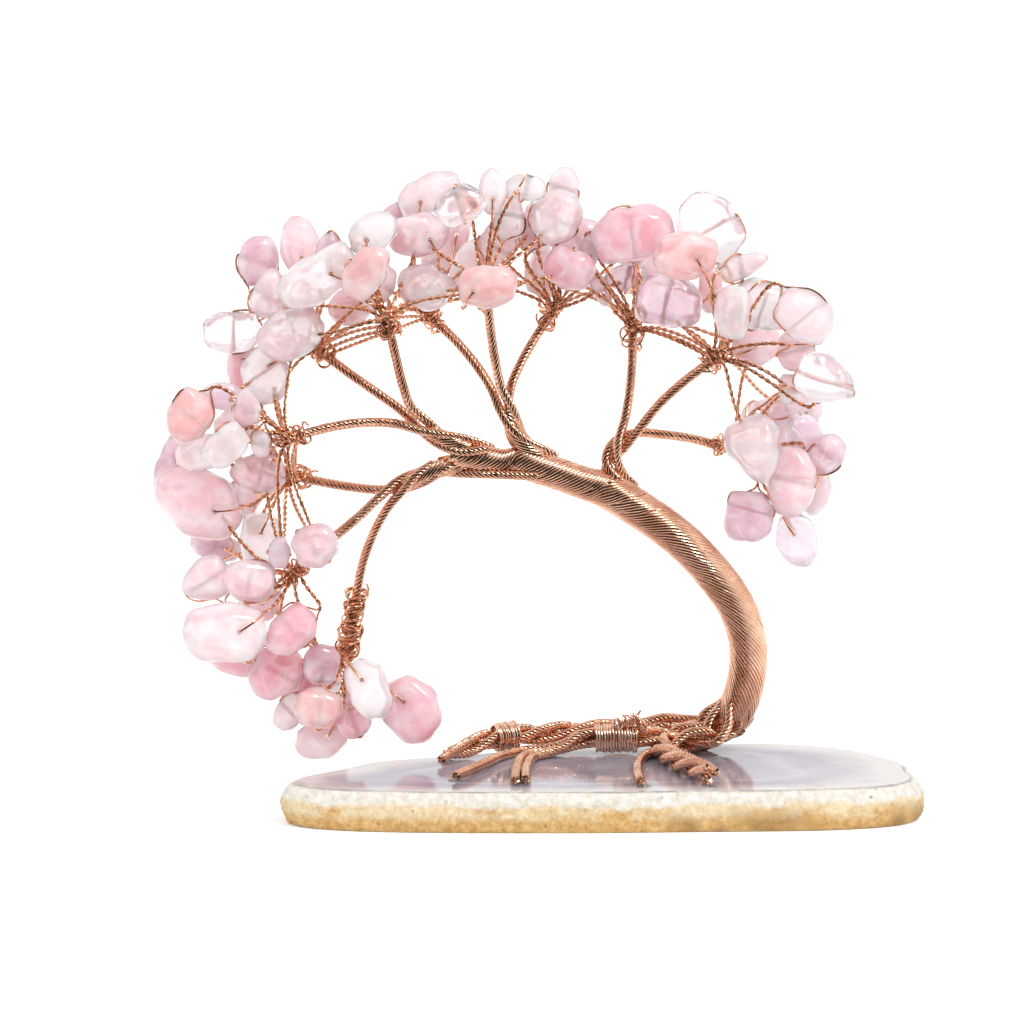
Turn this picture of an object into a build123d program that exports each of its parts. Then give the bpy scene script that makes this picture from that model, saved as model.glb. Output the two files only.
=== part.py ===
"""Gemstone tree: drilled quartz chips on a twisted copper wire tree, stood on a slice of agate.

Millimetres, Z up, the front faces -Y and the slab's underside lies on Z = 0.
Places read in the picture keep their pixels: x runs right, y runs down.
"""

import os
from math import cos, radians, sin

import numpy as np
from build123d import *

os.makedirs("parts", exist_ok=True)

# Scale and angle of the picture that the places were read in
tree_width = 125.8
tree_width_pixels = 699.0
middle_pixels = 602.5
slab_top_pixels = 768.0
view_rise = 9.0
pixel = tree_width / tree_width_pixels
rise = radians(view_rise)

# Agate slab
slab_width = 117.0
slab_depth = 54.0
slab_height = 7.5
slab_face_share = 0.95
slab_foot_share = 0.97
slab_belly_share = 0.55
slab_edge_pixels = [
    (293, 784), (298, 780), (307, 775), (320, 771), (340, 768), (362, 765), (400, 761),
    (440, 758), (490, 755), (545, 752), (600, 750), (650, 748), (705, 747), (760, 746),
    (800, 747), (835, 749), (862, 753), (884, 757), (902, 763), (913, 769), (915, 774),
    (908, 780), (893, 784), (862, 787), (820, 789), (780, 788), (740, 787), (705, 789),
    (640, 790), (570, 790), (500, 790), (430, 789), (365, 789), (320, 788), (299, 787),
]

# Strands of the trunk
strand = 0.83
strand_gap = 0.06
strand_sides = 6
trunk_lay = 48.0
limb_lay = 22.0
trunk_station = 4.4
limb_station = 3.6
stem_station = 6.0
foot_depth = 17.0
crown_depth = 7.0
trunk_pixels = [
    (731, 729), (741, 716), (745, 700), (751, 678), (753, 655), (750, 630), (740, 605), (715, 573),
    (690, 545), (650, 515), (617, 496), (580, 480), (530, 466), (497, 460), (460, 455),
]
fork_pixels = {"right": (617, 496), "middle": (530, 466), "upper": (460, 455), "lower": (460, 455)}
limb_pixels = {
    "right": [(603, 470), (611, 451), (630, 430)],
    "middle": [(516, 448), (510, 425), (500, 390)],
    "upper": [(435, 437), (405, 415)],
    "lower": [(437, 467), (420, 475), (385, 495)],
}
limb_depth_shares = {"right": 0.25, "middle": 0.1, "upper": 0.05, "lower": -0.05}
limbs = list(fork_pixels)
fork_stations = 2
third_turns = (90, 210, 330)

# Hubs: where a strand ends in a spray of thin wires, and which of its limb's strands each one ends
hub_depth = 16.0
hub_strands = {
    "right_top": ("right", 2), "right_mid": ("right", 0), "right_low": ("right", 1),
    "middle_left": ("middle", 2), "middle_top": ("middle", 0), "middle_right": ("middle", 1),
    "upper_right": ("upper", 0), "upper_top": ("upper", 1), "upper_left": ("upper", 2),
    "lower_top": ("lower", 0), "lower_mid": ("lower", 2), "lower_right": ("lower", 1),
}
stem_pixels = {
    "right_top": [(633, 382), (633, 335)],
    "right_mid": [(657, 402), (682, 380), (710, 362)],
    "right_low": [(668, 433), (700, 438), (718, 445)],
    "middle_left": [(470, 352), (435, 320)],
    "middle_top": [(492, 345), (487, 300)],
    "middle_right": [(525, 352), (548, 318)],
    "upper_right": [(398, 370), (390, 332)],
    "upper_top": [(370, 388), (338, 366), (325, 355)],
    "upper_left": [(350, 420), (300, 435)],
    "lower_top": [(345, 487), (302, 478)],
    "lower_mid": [(357, 520), (332, 537), (303, 565)],
    "lower_right": [(362, 550), (354, 605), (345, 660)],
}
hub_depth_shares = {
    "right_top": 0.5, "right_mid": -0.2, "right_low": 0.6,
    "middle_left": 0.65, "middle_top": -0.15, "middle_right": 0.5,
    "upper_right": -0.3, "upper_top": 0.4, "upper_left": -0.4,
    "lower_top": 0.5, "lower_mid": -0.2, "lower_right": 0.35,
}

# Roots: each strand's column from the front and layer from the slab, in the row at the trunk's foot
root_columns = 4
root_lay = 24.0
row_slots = {
    ("upper", 1): (0, 0), ("middle", 2): (1, 0), ("middle", 0): (2, 0), ("middle", 1): (3, 0),
    ("upper", 2): (0, 1), ("upper", 0): (1, 1), ("right", 0): (2, 1), ("right", 2): (3, 1),
    ("lower", 1): (0, 2), ("lower", 0): (1, 2), ("lower", 2): (2, 2), ("right", 1): (3, 2),
}
thick_root_strands = (("lower", 1), ("upper", 1), ("upper", 2))
thin_root_strand = ("middle", 2)
bound_root_strands = (("lower", 0), ("upper", 0), ("right", 0))
high_root_strands = (("lower", 2), ("right", 2), ("right", 1))
row_pixels = [(705, 753), (684, 753)]
thick_root_pixels = [(668, 757), (662, 761), (667, 766), (680, 772), (696, 779), (709, 785)]
thin_root_pixels = [(664, 756), (651, 759), (642, 764), (638, 772), (638, 780), (640, 786)]
bound_root_pixels = [(664, 754), (640, 756), (610, 756), (580, 756)]
high_root_pixels = [(664, 750), (640, 749), (600, 750), (560, 752), (530, 754), (500, 756), (470, 759)]
front_root_pixels = [(560, 759), (541, 760.5), (532, 764), (528, 769), (526, 777), (526, 784)]
next_root_pixels = [(560, 757), (536, 758.5), (522, 763), (518, 769), (516, 777), (515, 785)]
left_root_pixels = [(560, 755), (530, 756), (508, 760), (482, 771), (456, 781)]
high_tip_pixels = [(441, 767), (449, 759), (444, 762)]
high_root_lift = 3.3
high_root_end_lift = 2.2

# Glue under the wire ends
glue_height = 0.25
glue_radius = 1.7
glue_sides = 9
glue_bevel_share = 0.8
glue_pixels = [(709, 785), (640, 785), (521, 784), (456, 780), (446, 762), (722, 760)]

# Wire wound round the roots
binding = 0.225
binding_gap = 0.58
binding_ease = 0.12
bound_span_pixels = (642, 587)
high_bound_span_pixels = (522, 486)
coil_sides = 8
coil_most = 24

# Thin wires that carry the chips
twig = 0.2
twig_sides = 4
pendant_twig_sides = 8
twig_pair = 0.56
twig_start = 0.12
twig_rise = 1.3
twig_neck = 1.3
twig_clear = 0.3
twig_lean_share = 0.35
twig_reach_share = 1.15
twig_rim_share = 0.75
twig_turn = 50.0
twig_stations = 3
loop_points = 3
twig_gap = 0.15
hub_ring_step = 0.5

# Chips
chip_thickness_share = 0.62
chip_bevel_share = 0.27
chip_hole = 0.4
chip_hole_sides = 4
pendant_fit = 0.06
hole_share = 0.18
chip_gap = 0.4
chip_cover_share = 0.59
chip_slant_share = 0.5
chip_turn_shares = (0.25, 0.2)
spray_depth = 12.0
outline_shares = [
    [(-0.30, -0.50), (0.26, -0.50), (0.50, -0.16), (0.42, 0.28), (0.10, 0.50), (-0.28, 0.46), (-0.50, 0.05)],
    [(-0.22, -0.50), (0.25, -0.46), (0.50, -0.08), (0.36, 0.34), (0.04, 0.50), (-0.34, 0.36), (-0.50, -0.12)],
    [(-0.38, -0.44), (0.30, -0.5), (0.50, -0.18), (0.26, 0.36), (-0.04, 0.5), (-0.30, 0.32), (-0.50, -0.14)],
    [(-0.32, -0.50), (0.28, -0.48), (0.50, -0.22), (0.46, 0.26), (0.16, 0.50), (-0.34, 0.46), (-0.50, 0.14)],
    [(-0.26, -0.48), (0.20, -0.50), (0.50, -0.26), (0.40, 0.30), (0.06, 0.50), (-0.40, 0.34), (-0.50, -0.06)],
]

# Each row: middle x, middle y, long and wide in pixels, lean of the long way in degrees,
# and its place between the front (-1) and the back (1) of its spray
chip_pixels = {
    "right_top": [
        (636, 235, 70, 52, 70, -0.3), (618, 250, 36, 26, 110, 0.5), (630, 277, 40, 30, 90, 0.6),
        (668, 302, 58, 48, 90, -0.7), (711, 288, 44, 22, 0, 0.3), (602, 288, 34, 16, -25, 0.0),
        (598, 248, 30, 18, 0, -0.2), (655, 262, 46, 36, 40, 1.0),
    ],
    "right_mid": [
        (700, 229, 62, 56, 135, 0.5), (684, 256, 56, 46, 90, -0.6), (745, 270, 48, 24, 70, 0.2),
        (732, 312, 50, 32, 0, -0.8), (764, 304, 56, 48, 100, 0.1), (803, 314, 54, 46, 125, -0.2),
        (798, 353, 40, 36, 0, 0.2), (824, 378, 54, 46, 115, -0.1), (789, 388, 26, 20, 0, 0.3),
        (758, 345, 46, 36, 60, 1.0),
    ],
    "right_low": [
        (790, 408, 36, 22, 70, 0.2), (811, 412, 34, 26, 0, 0.5), (757, 449, 62, 50, -20, -0.8),
        (795, 437, 44, 40, 60, 0.3), (824, 448, 38, 30, 30, 0.1), (792, 480, 60, 44, 0, -0.4),
        (818, 487, 46, 30, 10, 0.4), (765, 415, 44, 34, 50, 0.9),
    ],
    "middle_left": [
        (417, 278, 48, 42, 110, -0.5), (415, 240, 56, 42, 90, -0.6), (404, 212, 36, 26, 60, 0.1),
        (426, 195, 58, 34, 60, 0.0), (466, 264, 50, 28, 20, 0.2), (458, 226, 46, 24, 0, 0.5),
        (440, 250, 46, 36, 30, 1.0),
    ],
    "middle_top": [
        (461, 206, 44, 36, 60, -0.4), (494, 190, 46, 26, 0, 0.0), (508, 212, 50, 28, 0, 0.4),
        (524, 189, 36, 24, 90, 0.3), (488, 287, 56, 40, 75, -1.0), (500, 245, 48, 36, 20, 0.8),
    ],
    "middle_right": [
        (568, 187, 34, 28, 0, 0.2), (557, 216, 50, 46, 45, -0.3), (529, 226, 44, 22, 0, 0.1),
        (580, 243, 46, 38, 60, 0.2), (570, 267, 46, 38, 100, -0.5), (545, 270, 46, 36, 20, 1.0),
        (540, 232, 44, 34, 70, 0.8),
    ],
    "upper_right": [
        (366, 272, 52, 36, 30, -0.6), (373, 233, 46, 36, 60, 0.0), (330, 250, 30, 28, 0, 0.3),
        (319, 278, 74, 42, 55, -0.2), (385, 290, 46, 34, 20, 0.8), (352, 300, 44, 34, 60, 1.0),
    ],
    "upper_top": [
        (258, 260, 44, 38, 0, 0.2), (299, 246, 56, 38, -10, 0.0), (266, 297, 46, 34, 10, -0.3),
        (237, 332, 50, 38, 80, -0.4), (240, 366, 56, 26, -5, 0.3), (288, 335, 60, 46, 60, -0.7),
        (265, 372, 52, 44, 0, -0.5), (290, 290, 46, 36, 40, 1.0),
    ],
    "upper_left": [
        (190, 416, 46, 40, 20, -0.3), (224, 398, 40, 26, 100, 0.0), (246, 409, 34, 26, 0, -0.5),
        (224, 446, 44, 32, 45, -0.6), (200, 453, 48, 32, 70, 0.2), (266, 438, 26, 18, 0, -0.3),
        (235, 425, 44, 34, 60, 0.9),
    ],
    "lower_top": [
        (170, 468, 60, 34, 20, 0.1), (203, 503, 84, 60, 125, -0.5), (255, 474, 50, 38, 90, -0.6),
        (213, 546, 46, 26, 105, 0.3), (255, 540, 56, 40, 170, -0.4), (235, 500, 46, 34, 60, 0.9),
    ],
    "lower_mid": [
        (280, 552, 30, 20, 0, -0.4), (315, 545, 44, 40, 60, -0.6), (206, 581, 46, 42, 60, 0.1),
        (247, 583, 44, 38, 90, -0.3), (228, 628, 78, 54, 85, -0.5), (286, 630, 50, 38, 40, -0.4),
        (258, 604, 46, 34, 60, 0.9),
    ],
    "lower_right": [
        (236, 662, 54, 28, 95, 0.2), (281, 677, 52, 48, 45, -0.5), (305, 686, 40, 30, 90, 0.3),
        (319, 662, 36, 32, 0, -0.3), (315, 704, 44, 38, 90, -0.6), (291, 711, 36, 26, 30, 0.2),
        (318, 738, 48, 36, 75, 0.0), (344, 706, 24, 18, 0, 0.2), (353, 724, 30, 26, 60, -0.4),
        (363, 692, 58, 38, -30, -0.7), (328, 684, 34, 22, 0, 0.7),
    ],
}
# Rows as above: chips that hang loose in a loop of wire
pendant_pixels = {
    "right_low": [(750, 517, 44, 44, 0, -0.3), (799, 541, 48, 38, -15, 0.0)],
    "lower_right": [(411, 711, 62, 54, -30, -0.3)],
}
pendant_names = {
    "right_low": ["pendant_triangle", "pendant_clear"],
    "lower_right": ["pendant_rose"],
}

# How lines and chips are eased off each other
relax_rounds = 240
relax_list_rounds = 20
relax_reach_gaps = 5
relax_push = 1.3
relax_even = 0.03
relax_home = 0.02
relax_fade = 1.5
spread_rounds = 200
settle_rounds = 140
settle_squash = 1.2
settle_side = 0.3
settle_step = 0.6
least_turn = 1.5
least_step_share = 1.6


def place(x, y, depth):
    """Point seen at a pixel of the picture, at a depth behind the slab's middle."""
    up = ((slab_top_pixels - y) * pixel - depth * sin(rise)) / cos(rise)
    return np.array([(x - middle_pixels) * pixel, depth, slab_height + up])


def slab_place(x, y, lift):
    """Point straight above the spot of the slab's face that is seen at a pixel."""
    back = (slab_top_pixels - y) * pixel / sin(rise)
    return np.array([(x - middle_pixels) * pixel, back, slab_height + lift])


def unit(vector):
    return vector / np.linalg.norm(vector)


def smooth(points, spacing):
    """Even stations on a smooth line through the points."""
    points = np.array(points, float)
    run = np.concatenate([[0], np.cumsum(np.linalg.norm(np.diff(points, axis=0), axis=1))])
    slopes = np.gradient(points, run, axis=0)
    count = max(2, int(round(run[-1] / spacing)) + 1)
    where = np.linspace(0, run[-1], count)
    left = np.clip(np.searchsorted(run, where) - 1, 0, len(points) - 2)
    step = (run[left + 1] - run[left])[:, None]
    t = (where - run[left])[:, None] / step
    near = (2 * t**3 - 3 * t**2 + 1) * points[left] + (t**3 - 2 * t**2 + t) * step * slopes[left]
    far = (3 * t**2 - 2 * t**3) * points[left + 1] + (t**3 - t**2) * step * slopes[left + 1]
    return near + far


def frames(stations, first_side):
    """Direction, side and third way at each station, the side carried on without a twist."""
    ways = np.gradient(stations, axis=0)
    ways = ways / np.linalg.norm(ways, axis=1)[:, None]
    sides = []
    side = first_side
    for way in ways:
        side = unit(side - side.dot(way) * way)
        sides.append(side)
    sides = np.array(sides)
    return ways, sides, np.cross(ways, sides)


def sector(count):
    """Inner radius, outer radius and half angle of a limb's three strands among this many limbs."""
    half = 90 / count
    inner = 1 / sin(radians(2 * half))
    outer = inner * cos(radians(half)) + (inner**2 * cos(radians(half)) ** 2 - inner**2 + 4) ** 0.5
    return np.array([inner, outer, half])


def build_trunk():
    """Stations of all twelve strands up the trunk, and where each limb leaves it."""
    depths = np.linspace(0, 1, len(trunk_pixels))
    depths = foot_depth + (crown_depth - foot_depth) * depths
    axis = smooth([place(x, y, d) for (x, y), d in zip(trunk_pixels, depths)], trunk_station)
    ways, sides, thirds = frames(axis, np.array([1.0, 0, 0]))
    run = np.concatenate([[0], np.cumsum(np.linalg.norm(np.diff(axis, axis=0), axis=1))])
    forks = {}
    for limb, (x, y) in fork_pixels.items():
        seen = [np.hypot(*(point - place(x, y, point[1]))[[0, 2]]) for point in axis]
        forks[limb] = int(np.argmin(seen))
    first, second, last = forks["right"], forks["middle"], forks["upper"]
    leave = place(*limb_pixels["right"][0], axis[first][1]) - axis[first]
    facing = np.degrees(np.arctan2(leave.dot(thirds[first]), leave.dot(sides[first])))
    lay = facing - (run - run[first]) / trunk_lay * 360
    four, three, two = sector(4), sector(3), sector(2)
    turns = {"right": (0, 0, 0), "middle": (90, 90, 90), "upper": (180, 210, 180), "lower": (270, 330, 360)}
    spread = strand * (1 + strand_gap)
    strands = {}
    for limb in limbs:
        for number in range(3):
            points = []
            for i in range(forks[limb] + 1):
                to_three = np.clip((i - first) / fork_stations, 0, 1)
                to_two = np.clip((i - second) / fork_stations, 0, 1)
                shape = four + (three - four) * to_three + (two - three) * to_two
                a, b, c = turns[limb]
                angle = lay[i] + a + (b - a) * to_three + (c - b) * to_two
                out = spread * (shape[0] if number == 0 else shape[1])
                angle += (0, -shape[2], shape[2])[number]
                angle = radians(angle)
                points.append(axis[i] + out * (cos(angle) * sides[i] + sin(angle) * thirds[i]))
            strands[limb, number] = points
    stages = {"right": 0, "middle": 1, "upper": 2, "lower": 2}
    leaving = {}
    for limb, at in forks.items():
        leaving[limb] = (at, sides[at], thirds[at], lay[at] + turns[limb][stages[limb]])
    return axis, ways, strands, leaving


def grow_limb(limb, strands, fork):
    """Carries three strands on as one twisted limb."""
    at, side, third, angle = fork
    start = sum(strands[limb, number][at] for number in range(3)) / 3
    depth = crown_depth + limb_depth_shares[limb] * hub_depth
    ends = limb_pixels[limb]
    depths = np.linspace(start[1], depth, len(ends) + 1)[1:]
    axis = smooth([start] + [place(x, y, d) for (x, y), d in zip(ends, depths)], limb_station)
    toward = cos(radians(angle)) * side + sin(radians(angle)) * third
    ways, sides, thirds = frames(axis, toward)
    run = np.concatenate([[0], np.cumsum(np.linalg.norm(np.diff(axis, axis=0), axis=1))])
    ring = 2 / 3**0.5 * strand * (1 + strand_gap)
    for i in range(1, len(axis)):
        turn = 360 * (run[i] - run[i - 1]) / limb_lay
        wide = ring / cos(radians(turn / 2))
        for number, own in enumerate((180, -60, 60)):
            phase = radians(own - 360 * run[i] / limb_lay)
            strands[limb, number].append(axis[i] + wide * (cos(phase) * sides[i] + sin(phase) * thirds[i]))


def grow_stem(name, whole):
    """Carries a limb's strand on to its hub."""
    far = crown_depth + hub_depth * hub_depth_shares[name]
    depths = np.linspace(whole[-1][1], far, len(stem_pixels[name]) + 1)[1:]
    route = [place(x, y, d) for (x, y), d in zip(stem_pixels[name], depths)]
    return whole + list(smooth([whole[-1]] + route, stem_station)[1:])


def spread_out(points, gap):
    """Pushes flat places apart until none is nearer to another than the gap."""
    points = np.array(points, float)
    for _ in range(spread_rounds):
        away = points[:, None] - points[None]
        far = np.linalg.norm(away, axis=2) + np.eye(len(points)) * 2 * gap
        push = np.clip(gap - far, 0, None)[:, :, None] / 2 * away / far[:, :, None]
        points = points + push.sum(axis=1)
    return points


def twisted(route, lay, turn_from, ring):
    """Three strands laid round a route."""
    ways, sides, thirds = frames(route, np.array([0, 1.0, 0]))
    run = np.concatenate([[0], np.cumsum(np.linalg.norm(np.diff(route, axis=0), axis=1))])
    made = []
    for own in turn_from:
        phase = np.radians(own - 360 * run / lay)[:, None]
        made.append(route + ring * (np.cos(phase) * sides + np.sin(phase) * thirds))
    return made


def winding_radius(ring):
    """Middle radius of a winding round three strands laid on a ring."""
    return ring + strand + binding_ease + binding


def build_roots(axis, ways, strands):
    """Lays the twelve strands from the trunk's foot into a flat row and out as roots."""
    gap = 2 * strand * (1 + strand_gap)
    keys = list(strands)
    up = unit(np.cross(ways[0], np.array([0, 1.0, 0])))
    up = up if up[0] < 0 else -up
    flat = {key: ((strands[key][0] - axis[0])[1], (strands[key][0] - axis[0]).dot(up)) for key in keys}
    wanted = {}
    for key, (column, layer) in row_slots.items():
        wanted[key] = ((column - (root_columns - 1) / 2) * gap, strand + layer * gap)
    roots = {key: [] for key in keys}
    for x, y in row_pixels:
        for key in keys:
            offset, lift = wanted[key]
            roots[key].append(slab_place(x, y, lift) + np.array([0, offset, 0]))
    turning = (axis[0] + slab_place(*row_pixels[0], gap + strand)) / 2
    middle = unit(np.array([-1.0, 0, 0]) - ways[0])
    rising = unit(np.cross(middle, np.array([0, 1.0, 0])))
    rising = rising if rising[2] > 0 else -rising
    halfway = []
    for key in keys:
        (across, height), (offset, lift) = flat[key], wanted[key]
        halfway.append(((across + offset) / 2, (height + lift - strand - gap) / 2))
    for key, (offset, lift) in zip(keys, spread_out(halfway, gap)):
        roots[key].insert(0, turning + np.array([0, offset, 0]) + lift * rising)
    ring = 2 / 3**0.5 * strand * (1 + strand_gap) / cos(radians(30))
    low = ring + strand

    def route(pixels, lifts, spacing):
        return smooth([slab_place(x, y, lift) for (x, y), lift in zip(pixels, lifts)], spacing)

    rest = (glue_height + strand) * (1 + strand_gap)
    lifts = [low] * (len(thick_root_pixels) - 2) + [low + glue_height] * 2
    thick = twisted(route(thick_root_pixels, lifts, limb_station), root_lay, third_turns, ring)
    for key, points in zip(thick_root_strands, thick):
        roots[key] += list(points)
    lifts = [strand] * (len(thin_root_pixels) - 2) + [rest] * 2
    roots[thin_root_strand] += list(route(thin_root_pixels, lifts, limb_station))
    lift = winding_radius(ring) / cos(np.pi / coil_sides) + 2 * binding
    bound_route = route(bound_root_pixels, [lift] * len(bound_root_pixels), limb_station)
    bound = twisted(bound_route, root_lay, third_turns, ring)
    tails = (front_root_pixels, left_root_pixels, next_root_pixels)
    for key, points, tail in zip(bound_root_strands, bound, tails):
        lifts = [strand] * (len(tail) - 2) + [rest] * 2
        free = [slab_place(x, y, lift) for (x, y), lift in zip(tail, lifts)]
        roots[key] += list(points) + list(smooth([points[-1]] + free, limb_station)[1:])
    lifts = [high_root_lift] * (len(high_root_pixels) - 1) + [high_root_end_lift]
    high_route = route(high_root_pixels, lifts, limb_station)
    high = twisted(high_route, root_lay, third_turns, ring)
    for key, points, tip in zip(high_root_strands, high, high_tip_pixels):
        roots[key] += list(points) + [slab_place(*tip, rest)]
    return roots, bound_route, high_route, ring


def bends(points):
    """Leaves out the points at which a line hardly turns."""
    kept = [points[0]]
    for i in range(1, len(points) - 1):
        before, after = unit(points[i] - kept[-1]), unit(points[i + 1] - points[i])
        if before.dot(after) < cos(radians(least_turn)):
            kept.append(points[i])
    return kept + [points[-1]]


def wire(points, radius, sides):
    """A wire of many flat sides along straight runs, mitred where they meet."""
    route = [tuple(point) for point in bends(points)]
    with BuildPart() as made:
        with BuildLine() as way:
            Polyline(*route)
        with BuildSketch(Plane(origin=way.line @ 0, z_dir=way.line % 0)):
            RegularPolygon(radius, sides)
        sweep(transition=Transition.RIGHT)
    return made.part


def closest(a, b, c, d):
    """Shares along segments a-b and c-d at which they come nearest to each other."""
    u, v, w = b - a, d - c, a - c
    uu, uv, vv = (u * u).sum(1), (u * v).sum(1), (v * v).sum(1)
    uw, vw = (u * w).sum(1), (v * w).sum(1)
    flat = uu * vv - uv * uv
    s = np.clip(np.where(flat > uu * vv / 1e6, (uv * vw - vv * uw) / np.where(flat > 0, flat, 1), 0.5), 0, 1)
    t = np.clip((uv * s + vw) / vv, 0, 1)
    s = np.clip((uv * t - uw) / uu, 0, 1)
    return s[:, None], t[:, None]


def ease_apart(lines, gap, floor, held):
    """Moves the inner points of lines, but for the held ones, until none passes nearer than the gap."""
    points = np.concatenate(lines)
    wanted = points.copy()
    number = np.concatenate([[k] * len(line) for k, line in enumerate(lines)])
    inner = np.zeros(len(points), bool)
    inner[1:-1] = (number[:-2] == number[1:-1]) & (number[1:-1] == number[2:])
    at = np.where(inner & ~held)[0]
    starts = np.array([i for i in range(len(points) - 1) if number[i] == number[i + 1]])
    for turn in range(relax_rounds):
        if turn % relax_list_rounds == 0:
            middles = (points[starts] + points[starts + 1]) / 2
            near = np.linalg.norm(middles[:, None] - middles[None], axis=2) < relax_reach_gaps * gap
            one, two = np.where(np.triu(near & (number[starts][:, None] != number[starts][None])))
            one, two = starts[one], starts[two]
        s, t = closest(points[one], points[one + 1], points[two], points[two + 1])
        away = points[one] * (1 - s) + points[one + 1] * s - points[two] * (1 - t) - points[two + 1] * t
        far = np.linalg.norm(away, axis=1)[:, None]
        push = np.clip(gap - far, 0, None) * away / np.maximum(far, gap / 100) / 2
        moved, times = np.zeros_like(points), np.zeros((len(points), 1))
        for index, share in ((one, 1 - s), (one + 1, s), (two, t - 1), (two + 1, -t)):
            np.add.at(moved, index, push * share)
            np.add.at(times, index, np.abs(share) * (far < gap))
        moved /= np.maximum(times, 1)
        even = (points[at - 1] + points[at + 1]) / 2 - points[at]
        hold = max(0, 1 - relax_fade * turn / relax_rounds)
        home = wanted[at] - points[at]
        points[at] += moved[at] * relax_push + (even * relax_even + home * relax_home) * hold
        points[at, 2] = np.maximum(points[at, 2], floor)
    return np.split(points, np.cumsum([len(line) for line in lines])[:-1])


def thin_out(points, nearest):
    """Leaves out the points that crowd the one before."""
    kept = [points[0]]
    for point in points[1:-1]:
        if min(np.linalg.norm(point - kept[-1]), np.linalg.norm(point - points[-1])) > nearest:
            kept.append(point)
    return kept + [points[-1]]


# Strands from root tip to hub
trunk_axis, trunk_ways, all_strands, all_forks = build_trunk()
all_roots, bound_axis, high_axis, root_ring = build_roots(trunk_axis, trunk_ways, all_strands)
for limb_name in limbs:
    grow_limb(limb_name, all_strands, all_forks[limb_name])
routes = {}
for hub_name, key in hub_strands.items():
    whole_strand = all_roots[key][::-1] + grow_stem(hub_name, all_strands[key])
    routes[hub_name] = thin_out(whole_strand, strand * least_step_share)


def in_winding(points):
    """Which points of the roots lie under a winding, with a station to spare."""
    low = points[:, 2] < slab_height + high_root_lift + 2 * strand
    under = np.zeros(len(points), bool)
    for span in (bound_span_pixels, high_bound_span_pixels):
        first, last = [(x - middle_pixels) * pixel for x in span]
        under |= (points[:, 0] < first + limb_station) & (points[:, 0] > last - limb_station)
    return under & low


bound_points = in_winding(np.concatenate(list(routes.values())))
eased = ease_apart(list(routes.values()), 2 * strand * (1 + strand_gap), slab_height + strand, bound_points)
routes = dict(zip(routes, eased))


class Chip:
    """One chip's size and the ways it lies: along its length, across it and through its hole."""

    def __init__(self, hub, row, number):
        x, y, long, wide, lean, depth = row
        self.long, self.wide = long * pixel, wide * pixel
        self.thick = self.wide * chip_thickness_share
        self.bevel = self.thick * chip_bevel_share
        self.shape = outline_shares[number % len(outline_shares)]
        self.middle = place(x, y, hub[1] + depth * spray_depth)
        out = unit(self.middle - hub)
        along = np.array([sin(radians(lean)), 0, cos(radians(lean))])
        along = along if along.dot(out) > 0 else -along
        self.along = unit(along + np.array([0, out[1] * chip_slant_share, 0]))
        through = np.array([out[0] * chip_turn_shares[0], 1, out[2] * chip_turn_shares[1]])
        self.through = unit(through - through.dot(self.along) * self.along)
        self.across = np.cross(self.along, self.through)

    def hole(self):
        return self.middle - hole_share * self.long * self.along

    def neck(self, hub):
        """Way in to the hole within the chip's own plane, and the reach from hole to rim."""
        way = unit(self.hole() - hub)
        way = way - way.dot(self.through) * self.through
        way = unit(way + twig_lean_share * self.along)
        half = np.hypot(self.long / 2 * way.dot(self.along), self.wide / 2 * way.dot(self.across))
        return way, half - hole_share * self.long * way.dot(self.along)

    def loop_start(self, hub):
        way, reach = self.neck(hub)
        return self.hole() - way * (reach * twig_reach_share + twig_neck)


def settle(chips, hubs, still):
    """Pushes chips apart, mostly in depth, off each other, the strands and the others' twigs."""
    count = len(chips)
    middles = np.array([chip.middle for chip in chips])
    along = np.array([chip.along * (chip.long - chip.wide) / 2 for chip in chips])
    radii = np.array([chip.wide * chip_cover_share for chip in chips])
    squash = np.array([1, settle_squash, 1])
    own = np.repeat(np.arange(count), 3)
    shares = np.tile([-1, 0, 1], count)[:, None]
    a = np.concatenate([np.array(line[:-1]) for line in still])
    b = np.concatenate([np.array(line[1:]) for line in still])
    starts = np.array(hubs)
    for _ in range(settle_rounds):
        balls = (middles[own] + along[own] * shares) * squash
        moved = np.zeros_like(middles)
        away = balls[:, None] - balls[None]
        far = np.linalg.norm(away, axis=2) + (own[:, None] == own[None]) * 1e6
        short = np.clip(radii[own][:, None] + radii[own][None] + chip_gap - far, 0, None)
        push = (short / far)[:, :, None] * away / 2
        np.add.at(moved, own, push.sum(axis=1) / 2)
        ends = np.array([chip.loop_start(start) for chip, start in zip(chips, starts)])
        for one, two, thick, mine in (
            (a * squash, b * squash, strand, None),
            (starts * squash, ends * squash, twig_pair + twig_clear, np.arange(count)),
        ):
            run = two - one
            t = ((balls[:, None] - one[None]) * run[None]).sum(2) / (run * run).sum(1)[None]
            t = np.clip(t, 0, 1)[:, :, None]
            away = balls[:, None] - one[None] - t * run[None]
            far = np.linalg.norm(away, axis=2)
            short = np.clip(radii[own][:, None] + thick + chip_gap - far, 0, None)
            if mine is not None:
                short = short * (own[:, None] != mine[None])
            push = (short / np.maximum(far, twig))[:, :, None] * away
            np.add.at(moved, own, push.sum(axis=1) / 2)
            if mine is not None:
                np.add.at(moved, mine, -(push * t).sum(axis=0) / 3)
        moved = np.clip(moved, -strand, strand)
        middles = middles + moved * np.array([settle_side, 1, settle_side]) * settle_step
        for chip, middle in zip(chips, middles):
            chip.middle = middle


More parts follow.
